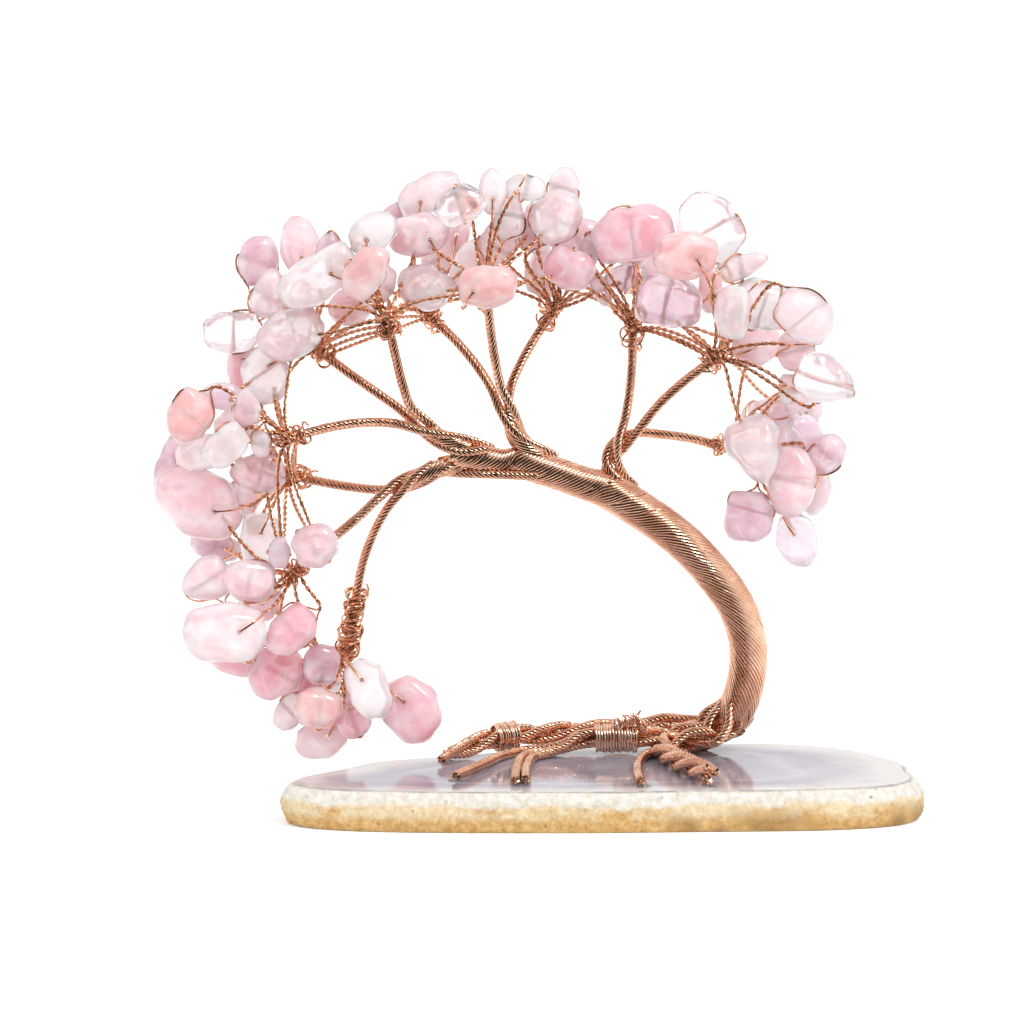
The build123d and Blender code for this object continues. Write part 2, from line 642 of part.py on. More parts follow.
def build_chip(chip, hole, swings=False):
    """One tumbled chip: a bevelled block, drilled through its thin way, round where it swings."""
    face = Plane(
        origin=tuple(chip.middle - chip.through * chip.thick / 2),
        x_dir=tuple(chip.across),
        z_dir=tuple(chip.through),
    )
    with BuildPart() as stone:
        with BuildSketch(face):
            with BuildLine():
                Polyline(*[(chip.wide * x, chip.long * y) for x, y in chip.shape], close=True)
            make_face()
        extrude(amount=chip.thick)
        rims = stone.edges().filter_by(face, reverse=False)
        chamfer(rims, chip.bevel)
        with BuildSketch(face):
            with Locations((0, -hole_share * chip.long)):
                if swings:
                    Circle(hole)
                else:
                    RegularPolygon(hole, chip_hole_sides, major_radius=False)
        extrude(amount=chip.thick, mode=Mode.SUBTRACT)
    return stone.part


def twig_legs(chip, hub, start, outward, way_out):
    """The two legs of a hairpin of wire, each from the hub to one side of a chip's hole."""
    way, reach = chip.neck(hub)
    hole, neck = chip.hole(), chip.loop_start(hub)
    side = chip.through if chip.through.dot(outward) >= 0 else -chip.through
    over = chip.thick / 2 + twig + twig_clear
    pair = twig_pair / 2
    legs = []
    for sign in (1, -1):
        leg = [start + outward * sign * pair]
        if unit(neck - start).dot(way_out) < cos(radians(twig_turn)):
            leg.append(leg[0] + way_out * twig_rise)
        end = neck + side * sign * pair
        leg += list(np.linspace(leg[-1], end, twig_stations + 1)[1:])
        leg.append(hole - way * reach * twig_rim_share + side * sign * over)
        leg.append(hole + side * sign * over)
        legs.append(np.array(leg))
    return legs


def twig_routes(chips, line):
    """Hairpins of one spray, set round the end of its strand in the order of their chips."""
    end, way_out = line[-1], unit(line[-1] - line[-2])
    _, sides, thirds = frames(np.array([end - way_out, end]), np.array([0, -1.0, 0]))
    side, third = sides[-1], thirds[-1]
    offsets = [chip.loop_start(end) - end for chip in chips]
    bearings = [np.arctan2(offset.dot(third), offset.dot(side)) for offset in offsets]
    order = sorted(range(len(chips)), key=lambda k: bearings[k])
    inner = max(hub_ring_step * len(chips) / 2 / np.pi, twig_pair / 2 + twig) + twig_pair / 2
    step = 2 * np.pi / len(chips)
    turned = np.array([bearings[k] - step * i for i, k in enumerate(order)])
    turn = np.arctan2(np.sin(turned).mean(), np.cos(turned).mean())
    legs = [None] * len(chips)
    for i, k in enumerate(order):
        angle = turn + step * i
        outward = cos(angle) * side + sin(angle) * third
        start = end + outward * inner + way_out * (twig + twig_start)
        legs[k] = twig_legs(chips[k], end, start, outward, way_out)
    lines = [leg for pair in legs for leg in pair]
    looped = np.concatenate([np.arange(len(line)) >= len(line) - loop_points for line in lines])
    lines = ease_apart(lines, 2 * twig + twig_gap, slab_height + twig, looped)
    return [np.concatenate([one, two[::-1]]) for one, two in zip(lines[::2], lines[1::2])]


def between(at, run, rows):
    """The row part way along a run."""
    return np.array([np.interp(at, run, rows[:, k]) for k in range(3)])


def build_coil(route, span_pixels, ring):
    """A winding of flat-sided loops round the part of a route between two columns of pixels."""
    first, last = [(x - middle_pixels) * pixel for x in span_pixels]
    fine = smooth(route, strand)
    held = fine[(fine[:, 0] <= first) & (fine[:, 0] >= last)]
    _, sides, thirds = frames(held, np.array([0, 1.0, 0]))
    run = np.concatenate([[0], np.cumsum(np.linalg.norm(np.diff(held, axis=0), axis=1))])
    pitch = 2 * binding + binding_gap
    turns = min(coil_most, int(run[-1] / pitch))
    out = winding_radius(ring) / cos(np.pi / coil_sides)
    points = []
    for i in range(coil_sides * turns + 1):
        at = pitch * i / coil_sides
        middle, side, third = [between(at, run, rows) for rows in (held, sides, thirds)]
        angle = 2 * np.pi * i / coil_sides
        points.append(middle + out * (cos(angle) * unit(side) + sin(angle) * unit(third)))
    points = np.array(points)
    near = []
    for i in range(len(points) - coil_sides):
        next_loop = points[i + coil_sides - 1 : i + coil_sides + 2]
        near.append(np.linalg.norm(next_loop - points[i], axis=1).min())
    print("winding of", turns, "loops, least gap to itself", round(min(near) - 2 * binding, 3), "mm")
    return wire(points, binding, twig_sides)


def build_slab():
    """Slice of agate: its outline at the foot, the bulging belly and the polished face."""
    xs = [x for x, _ in slab_edge_pixels]
    ys = [y for _, y in slab_edge_pixels]
    across, deep = max(xs) - min(xs), max(ys) - min(ys)
    middle_x, middle_y = (max(xs) + min(xs)) / 2, (max(ys) + min(ys)) / 2
    shares = [((x - middle_x) / across, (middle_y - y) / deep) for x, y in slab_edge_pixels]
    with BuildPart() as slab:
        for height, scale in ((0, slab_foot_share), (slab_belly_share, 1), (1, slab_face_share)):
            with BuildSketch(Plane.XY.offset(slab_height * height)):
                with BuildLine():
                    corners = [(slab_width * scale * x, slab_depth * scale * y) for x, y in shares]
                    Polyline(*corners, close=True)
                make_face()
        loft(ruled=True)
    return slab.part


def build_glue():
    """Flat dabs of set glue under the ends of the wires."""
    with BuildPart() as glue:
        for x, y in glue_pixels:
            with BuildSketch(Plane(origin=tuple(slab_place(x, y, 0)))):
                RegularPolygon(glue_radius, glue_sides)
        extrude(amount=glue_height)
        tops = glue.faces().filter_by(Axis.Z).group_by(Axis.Z)[-1].edges()
        chamfer(tops, glue_height * glue_bevel_share)
    return glue.part


def save(shape, name):
    shape.label = name
    export_step(shape, f"parts/{name}.step")


# Sprays: every chip of a strand's end, and its twigs
sprays = {name: [] for name in routes}
every, hubs = [], []
for name, rows in chip_pixels.items():
    hub = routes[name][-1]
    for number, row in enumerate(rows + pendant_pixels.get(name, [])):
        sprays[name].append(Chip(hub, row, number))
    every += sprays[name]
    hubs += [hub] * len(sprays[name])
settle(every, hubs, list(routes.values()))

for name, points in routes.items():
    save(wire(points, strand, strand_sides), f"strand_{name}")
    chips = sprays[name]
    loose = len(pendant_pixels.get(name, []))
    fixed = len(chips) - loose
    hairpins = twig_routes(chips, points)
    with BuildPart() as stones:
        add([build_chip(chip, chip_hole) for chip in chips[:fixed]])
    save(stones.part, f"chips_{name}")
    with BuildPart() as twigs:
        add([wire(pin, twig, twig_sides) for pin in hairpins[:fixed]])
        add([wire(pin, twig, pendant_twig_sides) for pin in hairpins[fixed:]])
    save(twigs.part, f"twigs_{name}")
    for pendant, chip in zip(pendant_names.get(name, []), chips[fixed:]):
        save(build_chip(chip, twig + pendant_fit, swings=True), pendant)

save(build_slab(), "agate_slab")
save(build_glue(), "glue_dabs")
save(build_coil(bound_axis, bound_span_pixels, root_ring), "root_binding")
save(build_coil(high_axis, high_bound_span_pixels, root_ring), "high_root_binding")
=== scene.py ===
"""Gemstone tree: tumbled rose quartz chips on a tree of twisted copper wire, stood on a slice of agate."""

import math
import random

import bmesh
import bpy
import numpy as np
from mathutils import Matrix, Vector, noise


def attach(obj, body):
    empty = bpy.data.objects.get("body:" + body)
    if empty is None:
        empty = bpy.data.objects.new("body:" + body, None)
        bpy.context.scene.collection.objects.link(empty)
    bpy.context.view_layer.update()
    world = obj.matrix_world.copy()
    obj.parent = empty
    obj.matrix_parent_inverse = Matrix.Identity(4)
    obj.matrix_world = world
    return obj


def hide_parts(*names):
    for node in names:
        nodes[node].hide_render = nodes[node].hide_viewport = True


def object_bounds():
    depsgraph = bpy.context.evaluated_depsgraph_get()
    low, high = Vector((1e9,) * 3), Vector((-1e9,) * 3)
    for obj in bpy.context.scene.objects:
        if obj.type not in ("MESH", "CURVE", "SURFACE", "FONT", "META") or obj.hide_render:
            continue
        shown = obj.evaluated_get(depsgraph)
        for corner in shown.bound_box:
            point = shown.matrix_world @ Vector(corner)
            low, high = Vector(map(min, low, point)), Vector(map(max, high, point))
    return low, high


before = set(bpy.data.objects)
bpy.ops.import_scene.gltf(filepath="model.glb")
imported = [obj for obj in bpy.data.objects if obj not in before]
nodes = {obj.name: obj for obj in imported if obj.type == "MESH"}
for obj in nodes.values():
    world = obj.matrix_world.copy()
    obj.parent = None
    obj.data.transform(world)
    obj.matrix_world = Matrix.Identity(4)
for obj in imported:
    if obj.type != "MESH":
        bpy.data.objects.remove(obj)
cad_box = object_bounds()
MM = 0.001
PER_METRE = 1000.0
BOX_LOW, BOX_HIGH = np.array(cad_box[0]), np.array(cad_box[1])

# The picture: one pixel's size at the object, and where the slab's middle lies in it
PIXEL = 125.8 / 699 * MM
MIDDLE_PIXELS = 602.5
SLAB_TOP_PIXELS = 768.0
PICTURE_PIXELS = 1024
CAMERA_RISE = math.radians(9)
CAMERA_LENS = 600.0
SLAB_TOP = 7.5 * MM

SPRAYS = [name[len("strand_"):] for name in sorted(nodes) if name.startswith("strand_")]
PENDANTS = {
    "pendant_triangle": "right_low",
    "pendant_clear": "right_low",
    "pendant_rose": "lower_right",
}

# How the frame's wires are faceted, the step of measured lines, and the crease at a wire's ends
CAD_STRAND_SIDES = 6
CAD_COIL_WIRE_SIDES = 4
CAD_COIL_SIDES = 8
FINE_STEP = 0.25 * MM
WIRE_CREASE = math.radians(60)
FIRST_SIDE = [0.31, 0.87, 0.38]

# Ropes of thin wires
STRAND_RADIUS = 0.83 * MM
ROPE_RADIUS = 0.9 * MM
ROPE_STEP = 0.42 * MM
ROPE_LAY = 5.2 * MM
ROPE_TAIL = 3 * MM
WIRES_ROUND = 6
WIRE_RADIUS = ROPE_RADIUS / 3
WIRE_SIDES = 6

# The close winding that covers the trunk and three limbs
WINDING_WIRE = 0.27 * MM
WINDING_SPACING = 2.04 * WINDING_WIRE
WINDING_STEP = 0.5 * MM
WINDING_FULLNESS = 1.2
WINDING_SIDES = 8
CORE_SIDES = 24
BUNDLE_ROUNDS = 6
BUNDLE_EVENING = 6
TRUNK_REACH = 4.6 * MM
LIMB_REACH = 2.6 * MM
# Where the covers begin: the trunk's above this height and right of this place, the limbs' above theirs
TRUNK_FOOT = 11.5 * MM
TRUNK_FOOT_LEFT = 18 * MM
LIMB_HEIGHT = 40 * MM
# Pixels across at which the trunk's winding ends, and the height above which that is
TRUNK_TIP_PIXELS = 440
CROWN_HEIGHT = 50 * MM
# Lengths over which a winding narrows at its start and its end
WINDING_LEAD = 3 * MM
TRUNK_TAIL = 6 * MM
LIMB_TAIL = 5 * MM
# The slope of the lay at distances along the winding
TRUNK_LAY_SLOPES = [
    (0, 0.75), (12 * MM, 0.7), (32 * MM, 0.62), (46 * MM, 0.95), (62 * MM, 1.3), (90 * MM, 1.3),
]
LIMB_LAY_SLOPES = [(0, 0.9), (20 * MM, 0.7)]
# Each covered limb: its strands, and the pixels between which the cover runs
LIMBS = [
    ("middle_limb", ("middle_left", "middle_right", "middle_top"), (545, 478), (508, 396)),
    ("upper_limb", ("upper_left", "upper_right", "upper_top"), (480, 458), (424, 422)),
    ("lower_limb", ("lower_top", "lower_mid", "lower_right"), (470, 464), (392, 492)),
]

# Twigs: pairs of wires twisted on each other, and how far they stand off the stones
TWIG_RADIUS = 0.2 * MM
TWIG_STEP = 0.35 * MM
TWIG_LAY = 3.0 * MM
TWIG_SIDES = 6
TWIG_NECK = 1.1 * MM
TWIG_LIFT = TWIG_RADIUS + 0.06 * MM
TWIST_RADIUS = TWIG_RADIUS * 1.04
TWIG_STATIONS = 24
# The legs of a twig over its stone: shares of the way from the rim to the hole, least gap and step
LEG_SHARES = (0.95, 0.55, 0.2)
LEG_GAP = 0.12 * MM
LEG_STEP = 0.22 * MM
# How far back from its end, in mm, a strand carries a tangle of wire, and where most carry theirs
TANGLES = {"lower_right": (11, 7.5, 4, 0.5)}
TANGLE_AT_END = (-1.5,)
TANGLE_SIZE = 2.8 * MM
TANGLE_LOOPS = 5
TANGLE_LEAN = 0.8
CROSSINGS = 6
CROSSING_REACH = 24 * MM
CROSSING_SWAY = 0.1
LOOSE_STATIONS = 12
# Strands whose ends are joined by a loose net of wires
NETS = {
    "upper_right": ("middle_left", "upper_top"),
    "lower_top": ("upper_left",),
    "right_mid": ("right_top",),
}
NET_WIRES = 4
NET_SWAY = 0.14
NET_LIFT = 0.04
NET_LIFT_STEP = 0.11

# Windings round the roots, and the knot of wire on them
BINDING_WIRE = 0.235 * MM
BINDING_PITCH = 0.5 * MM
KNOT_PIXELS = [(623, 725), (633, 720), (643, 726)]
KNOT_BACK = 13 * MM
KNOT_SIZE = 1.5 * MM
KNOT_LOOPS = 3

# Each copper: bright colour, tarnished colour, size of its blotches in mm, least roughness
COPPERS = {
    "strand_copper": ((0.98, 0.62, 0.44), (0.58, 0.25, 0.14), 5.0, 0.12),
    "twig_copper": ((0.98, 0.58, 0.38), (0.64, 0.28, 0.15), 3.0, 0.14),
    "root_copper": ((1.0, 0.72, 0.55), (0.80, 0.46, 0.32), 3.0, 0.16),
}

# Stones: how sharply their sides meet, how full they are, their swells and their drilled holes
STONE_SHARPNESS = 12.0
STONE_FULLNESS = 1.2
STONE_SWELLS = ((1.3, 0.12), (3.1, 0.045))
STONE_CREASE = math.radians(50)
EDGE_ROOM = 0.05 * MM
HOLE_RADIUS = 0.42 * MM
PENDANT_HOLE_RADIUS = 0.3 * MM
HOLE_WALL_PROUD = 0.25 * MM
DRILL_REACH = 8 * MM
DRILL_SIDES = 12
FROSTED = (0.97, 0.94, 0.96)

# Tints that each stone was given, by the pixel of its middle
TINTS_PIXELS = {
    "right_top": [
        (636, 235, "rose"), (618, 250, "mauve"), (630, 277, "clear_mauve"), (668, 302, "clear_mauve"),
        (711, 288, "salmon"), (602, 288, "pink"), (598, 248, "pink"), (655, 262, "pink"),
    ],
    "right_mid": [
        (700, 229, "clear"), (684, 256, "salmon"), (745, 270, "pale"), (732, 312, "pale"),
        (764, 304, "white"), (803, 314, "pale"), (798, 353, "pink"), (824, 378, "clear"),
        (789, 388, "pale"), (758, 345, "pink"),
    ],
    "right_low": [
        (790, 408, "pink"), (811, 412, "pale"), (757, 449, "pale"), (795, 437, "lilac"),
        (824, 448, "mauve"), (792, 480, "pink"), (818, 487, "pale"), (765, 415, "pink"),
    ],
    "middle_left": [
        (417, 278, "pale"), (415, 240, "pink"), (404, 212, "mauve"), (426, 195, "pale"),
        (466, 264, "pale"), (458, 226, "pink"), (440, 250, "pink"),
    ],
    "middle_top": [
        (461, 206, "clear"), (494, 190, "pale"), (508, 212, "pale"), (524, 189, "white"),
        (488, 287, "salmon"), (500, 245, "pink"),
    ],
    "middle_right": [
        (568, 187, "pale"), (557, 216, "pale"), (529, 226, "pink"), (580, 243, "pink"),
        (570, 267, "rose"), (545, 270, "pink"), (540, 232, "pale"),
    ],
    "upper_right": [
        (366, 272, "salmon"), (373, 233, "white"), (330, 250, "mauve"), (319, 278, "white"),
        (385, 290, "pink"), (352, 300, "pink"),
    ],
    "upper_top": [
        (258, 260, "mauve"), (299, 246, "pink"), (266, 297, "pale"), (237, 332, "clear"),
        (240, 366, "rose"), (288, 335, "pale"), (265, 372, "white"), (290, 290, "pink"),
    ],
    "upper_left": [
        (190, 416, "salmon"), (224, 398, "lilac"), (246, 409, "pink"), (224, 446, "white"),
        (200, 453, "pale"), (266, 438, "pink"), (235, 425, "pink"),
    ],
    "lower_top": [
        (170, 468, "mauve"), (203, 503, "pink"), (255, 474, "pink"), (213, 546, "mauve"),
        (255, 540, "white"), (235, 500, "pink"),
    ],
    "lower_mid": [
        (280, 552, "lilac"), (315, 545, "pink"), (206, 581, "pale"), (247, 583, "pink"),
        (228, 628, "pale"), (286, 630, "rose"), (258, 604, "pink"),
    ],
    "lower_right": [
        (236, 662, "rose"), (281, 677, "rose"), (305, 686, "hot"), (319, 662, "mauve"),
        (315, 704, "salmon"), (291, 711, "pale"), (318, 738, "pink"), (344, 706, "rose"),
        (353, 724, "rose"), (363, 692, "white"), (328, 684, "pale"),
    ],
}
PENDANT_TINTS = {"pendant_triangle": "mauve", "pendant_clear": "clear_lilac", "pendant_rose": "rose"}

# Each tint: body colour, colour of its cloudy veins, how clear the stone is
TINTS = {
    "white": ((0.97, 0.81, 0.83), (0.99, 0.95, 0.96), 0.55),
    "pale": ((0.97, 0.72, 0.75), (0.99, 0.90, 0.92), 0.5),
    "pink": ((0.96, 0.62, 0.66), (0.99, 0.83, 0.86), 0.45),
    "rose": ((0.94, 0.50, 0.56), (0.98, 0.75, 0.79), 0.4),
    "hot": ((0.93, 0.38, 0.46), (0.97, 0.66, 0.71), 0.4),
    "salmon": ((0.95, 0.52, 0.52), (0.98, 0.76, 0.75), 0.4),
    "mauve": ((0.76, 0.48, 0.56), (0.90, 0.72, 0.77), 0.45),
    "lilac": ((0.88, 0.66, 0.76), (0.97, 0.88, 0.92), 0.45),
    "clear": ((0.94, 0.82, 0.85), (0.98, 0.93, 0.95), 0.85),
    "clear_mauve": ((0.80, 0.58, 0.66), (0.90, 0.78, 0.82), 0.7),
    "clear_lilac": ((0.88, 0.74, 0.82), (0.96, 0.89, 0.93), 0.7),
}

# Slab: waves and corners of its outline, and its crease
OUTLINE_WAVES = 7
SLAB_CORNERS = 720
SLAB_CREASE = math.radians(75)
# Profile from the foot's middle up over the rim to the face's middle: share of the way out, height
SLAB_PROFILE = [
    (0.0, 0.0), (0.5, 0.0), (0.9, 0.0), (0.955, 0.0), (0.972, 0.25), (0.982, 0.9), (0.989, 1.7),
    (0.994, 2.6), (0.996, 3.5), (0.995, 4.4), (0.991, 5.2), (0.984, 5.9), (0.976, 6.5), (0.967, 7.0),
    (0.958, 7.32), (0.949, 7.46), (0.94, 7.5), (0.92, 7.5), (0.88, 7.5), (0.8, 7.5), (0.7, 7.5),
    (0.55, 7.5), (0.4, 7.5), (0.2, 7.5), (0.0, 7.5),
]
# The rows of the profile between which the rim is rough
RIM_RUN = (3, 16)
# How many dents, lumps and grains of the rim come in a metre
RIM_DENTS, RIM_LUMPS, RIM_GRAINS = 140, 520, 1300
# Brown patches on the front of the rim: place across the picture and half width
BROWN_PIXELS = [(682, 17), (721, 7), (897, 8)]
# The polished face: its clouds, and the pale ring with its share of the way out
FACE_DEEP = (0.27, 0.25, 0.30)
FACE_CLOUD = (0.41, 0.38, 0.44)
FACE_RING = (0.62, 0.60, 0.64)
FACE_RING_OUT = 0.62
FACE_WARM = (0.64, 0.60, 0.58)
FACE_STAIN = (0.42, 0.31, 0.24)
SEAM = (0.26, 0.22, 0.22)
# The rind's layers, each in a dark and a pale grain
CRYSTAL = ((0.72, 0.66, 0.55), (0.90, 0.88, 0.84))
OCHRE = ((0.58, 0.30, 0.08), (0.84, 0.58, 0.26))
CREAM = ((0.74, 0.54, 0.28), (0.90, 0.80, 0.58))
RIND_BROWN = (0.36, 0.19, 0.06)
RIND_SPECK = (0.26, 0.16, 0.10)

# Glue: its two tints, and the rings of a drop from its edge to its top
GLUE_CLEAR = (0.97, 0.96, 0.93)
GLUE_YELLOWED = (0.90, 0.86, 0.80)
GLUE_RINGS = (1.0, 0.97, 0.88, 0.7, 0.45, 0.2)
GLUE_CORNERS = 26

# Room: the floor, the dark card in front of the object, and the side on which the room is dimmer
FLOOR_REACH = 9
CARD_CORNERS = [
    (-0.2, -0.06, 0.001), (0.14, -0.06, 0.001), (0.14, -0.14, 0.001), (-0.2, -0.14, 0.001),
    (0.14, -0.15, 0.22), (-0.2, -0.15, 0.22),
]
DIM_SIDE = (-0.2, -0.97, 0.12)
# Each lamp: its direction, spread in degrees, strength, and whether it shows in the shine
LAMPS = [("key", (0.5, -0.45, 0.9), 17, 1.2, True), ("front", (-0.25, -1.0, 0.45), 60, 1.85, False)]


# Reading the frame's meshes

def merged(node):
    """A node's vertices, each once, and its triangles."""
    mesh = nodes[node].data
    points = np.array([v.co for v in mesh.vertices]).round(7)
    mesh.calc_loop_triangles()
    triangles = np.array([t.vertices for t in mesh.loop_triangles])
    points, index = np.unique(points, axis=0, return_inverse=True)
    triangles = index.reshape(-1)[triangles]
    a, b, c = triangles.T
    flat = (a == b) | (b == c) | (a == c)
    return points, triangles[~flat]


def neighbours(points, triangles):
    """The vertices that each vertex shares an edge with."""
    near = [set() for _ in points]
    for a, b, c in triangles:
        near[a] |= {b, c}
        near[b] |= {a, c}
        near[c] |= {a, b}
    return near


def islands(points, triangles):
    """The separate solids of a node, as lists of vertices and triangles."""
    near = neighbours(points, triangles)
    owner = -np.ones(len(points), int)
    count = 0
    for seed in range(len(points)):
        if owner[seed] < 0:
            stack = [seed]
            owner[seed] = count
            while stack:
                for other in near[stack.pop()]:
                    if owner[other] < 0:
                        owner[other] = count
                        stack.append(other)
            count += 1
    made = []
    for number in range(count):
        kept = np.where(owner == number)[0]
        renumber = -np.ones(len(points), int)
        renumber[kept] = np.arange(len(kept))
        mine = triangles[owner[triangles[:, 0]] == number]
        made.append((points[kept], renumber[mine]))
    return made


def tube_line(points, triangles, sides):
    """Centres of the rings of a flat-sided tube, from one end cap to the other."""
    a, b, c = (points[triangles[:, k]] for k in range(3))
    ab, ac = b - a, c - a
    across = np.cross(ab, ac)
    size = (across**2).sum(1)[:, None]
    # The triangles of an end cap lie on one circle, and are found by its middle
    lean = np.cross(across, ab) * (ac**2).sum(1)[:, None] + np.cross(ac, across) * (ab**2).sum(1)[:, None]
    middle = a + lean / (2 * size)
    groups = {}
    for number, spot in enumerate(np.round(middle / (0.01 * MM)).astype(int)):
        groups.setdefault(tuple(spot), []).append(number)
    caps = [group for group in groups.values() if len(group) == sides - 2]
    caps = [group for group in caps if len(set(triangles[group].reshape(-1))) == sides]
    near = neighbours(points, triangles)
    best = []
    for cap in caps:
        level = set(triangles[cap].reshape(-1))
        seen = set(level)
        rings = [level]
        while level:
            level = set().union(*(near[v] for v in level)) - seen
            seen |= level
            if level:
                rings.append(level)
        if all(len(ring) == sides for ring in rings) and len(rings) > len(best):
            best = rings
    return np.array([points[list(ring)].mean(axis=0) for ring in best])


# Lines and tubes

def unit(vector):
    return vector / max(np.linalg.norm(vector), 1e-12)


def any_way(draw):
    """A loosely drawn direction."""
    return np.array([draw.uniform(-1, 1) for _ in range(3)])


def run_along(line):
    """Distance of each station from the line's start."""
    return np.concatenate([[0], np.cumsum(np.linalg.norm(np.diff(line, axis=0), axis=1))])


def directions(line):
    ways = np.gradient(line, axis=0)
    return ways / np.linalg.norm(ways, axis=1)[:, None]


def smooth_line(points, spacing):
    """Even stations on a smooth line through the points."""
    points = np.array(points, float)
    run = run_along(points)
    slopes = np.gradient(points, run, axis=0)
    count = max(3, int(round(run[-1] / spacing)) + 1)
    where = np.linspace(0, run[-1], count)
    left = np.clip(np.searchsorted(run, where) - 1, 0, len(points) - 2)
    step = (run[left + 1] - run[left])[:, None]
    t = (where - run[left])[:, None] / step
    near = (2 * t**3 - 3 * t**2 + 1) * points[left] + (t**3 - 2 * t**2 + t) * step * slopes[left]
    far = (3 * t**2 - 2 * t**3) * points[left + 1] + (t**3 - t**2) * step * slopes[left + 1]
    return near + far


def arc(start, leave, arrive, end, count):
    """Points on the curve that two middle points pull away from its straight."""
    t = np.linspace(0, 1, count)[:, None]
    return (1 - t) ** 3 * start + 3 * (1 - t) ** 2 * t * leave + 3 * (1 - t) * t**2 * arrive + t**3 * end


def travelling_frame(line):
    """Direction and two sides at each station, carried on without a twist."""
    ways = directions(line)
    side = np.cross(ways[0], FIRST_SIDE)
    sides = []
    for way in ways:
        side = unit(side - side.dot(way) * way)
        sides.append(side)
    sides = np.array(sides)
    return ways, sides, np.cross(ways, sides)


def circling(angle, side, third):
    """Directions out from a line, at an angle for each station."""
    angle = angle[:, None]
    return np.cos(angle) * side + np.sin(angle) * third


class Tubes:
    """Gathers round wires into one mesh."""

    def __init__(self):
        self.points, self.faces, self.count = [], [], 0

    def add(self, line, radius, sides):
        """A round wire along a line, kept inside the object's box."""
        line = np.clip(line, BOX_LOW + np.max(radius), BOX_HIGH - np.max(radius))
        _, side, third = travelling_frame(line)
        radius = np.broadcast_to(radius, len(line))[:, None]
        self.add_rings(line, side * radius, third * radius, sides)

    def add_pressed(self, line, outward, width, height, sides):
        """A wire pressed flat against what it is wound on."""
        across = np.cross(np.gradient(line, axis=0), outward)
        across /= np.linalg.norm(across, axis=1)[:, None]
        self.add_rings(line, outward * height, across * width, sides)

    def add_rings(self, line, reach, third, sides):
        """A skin over rings round a line, closed at both ends."""
        angles = np.arange(sides)[:, None] * 2 * np.pi / sides
        rows = line[:, None] + np.cos(angles) * reach[:, None] + np.sin(angles) * third[:, None]
        n, start = len(line), self.count
        self.points.append(rows.reshape(-1, 3))
        i = np.arange(n - 1)[:, None] * sides + start
        j = np.arange(sides)[None]
        k = (j + 1) % sides
        self.faces += np.stack([i + j, i + k, i + sides + k, i + sides + j], axis=2).reshape(-1, 4).tolist()
        self.faces.append([start + v for v in range(sides)][::-1])
        self.faces.append([start + (n - 1) * sides + v for v in range(sides)])
        self.count += n * sides

    def mesh(self, name):
        made = bpy.data.meshes.new(name)
        made.from_pydata(np.concatenate(self.points).tolist(), [], self.faces)
        made.shade_smooth()
        made.set_sharp_from_angle(angle=WIRE_CREASE)
        return made


def put_in_scene(name, data):
    thing = bpy.data.objects.new(name, data)
    bpy.context.scene.collection.objects.link(thing)
    return thing


def make_piece(name, mesh, material, slot, body, *replaced):
    """A piece of the object, which rides on a body and may replace solids."""
    piece = put_in_scene(name, mesh)
    if material is not None:
        mesh.materials.append(material)
    if replaced:
        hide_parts(*replaced)
    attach(piece, body)


def make_wires(name, tubes, material, slot, *replaced):
    """A piece of gathered wires, which is part of the tree."""
    make_piece(name, tubes.mesh(name), material, slot, "tree", *replaced)


def seen_at(point):
    """The pixel at which a point is seen."""
    x = MIDDLE_PIXELS + point[0] / PIXEL
    up = (point[2] - SLAB_TOP) * math.cos(CAMERA_RISE) + point[1] * math.sin(CAMERA_RISE)
    return np.array([x, SLAB_TOP_PIXELS - up / PIXEL])


def spot_at(x, y, back):
    """The point seen at a pixel, this far behind the object's middle."""
    up = ((SLAB_TOP_PIXELS - y) * PIXEL - back * math.sin(CAMERA_RISE)) / math.cos(CAMERA_RISE)
    return np.array([(x - MIDDLE_PIXELS) * PIXEL, back, SLAB_TOP + up])


# Shader building

class Nodes:
    """Short calls for laying out shader nodes."""

    def __init__(self, tree):
        self.tree = tree

    def feed(self, value, socket):
        """Links what a node gives to a socket, or sets the socket to a plain value."""
        if isinstance(value, bpy.types.NodeSocket):
            self.tree.links.new(value, socket)
        else:
            socket.default_value = value

    def add(self, kind, inputs=None, **settings):
        node = self.tree.nodes.new(kind)
        for key, value in settings.items():
            setattr(node, key, value)
        for key, value in (inputs or {}).items():
            self.feed(value, node.inputs[key])
        return node

    def dress(self, shader, **sockets):
        """Feeds a shader's sockets by name."""
        for label, value in sockets.items():
            self.feed(value, shader.inputs[label.replace("_", " ")])

    def place(self):
        return self.add("ShaderNodeTexCoord").outputs["Object"]

    def noise(self, where, scale, **inputs):
        return self.add("ShaderNodeTexNoise", {"Vector": where, "Scale": scale, **inputs}).outputs[0]

    def maths(self, operation, a, b=0.0):
        return self.add("ShaderNodeMath", {0: a, 1: b}, operation=operation).outputs[0]

    def times(self, a, b):
        return self.maths("MULTIPLY", a, b)

    def plus(self, a, b):
        return self.maths("ADD", a, b)

    def mix(self, share, a, b):
        """Blend of two colours."""
        return self.add("ShaderNodeMix", {0: share, 6: a, 7: b}, data_type="RGBA").outputs[2]

    def blend(self, share, a, b):
        """Blend of two numbers."""
        return self.add("ShaderNodeMix", {0: share, 2: a, 3: b}, data_type="FLOAT").outputs[0]

    def spread(self, value, low, high, to_low=0.0, to_high=1.0):
        """Maps a range of values onto another one, and holds them beyond its ends."""
        return self.add("ShaderNodeMapRange", {0: value, 1: low, 2: high, 3: to_low, 4: to_high}).outputs[0]


def rgba(colour):
    return (*colour, 1.0)


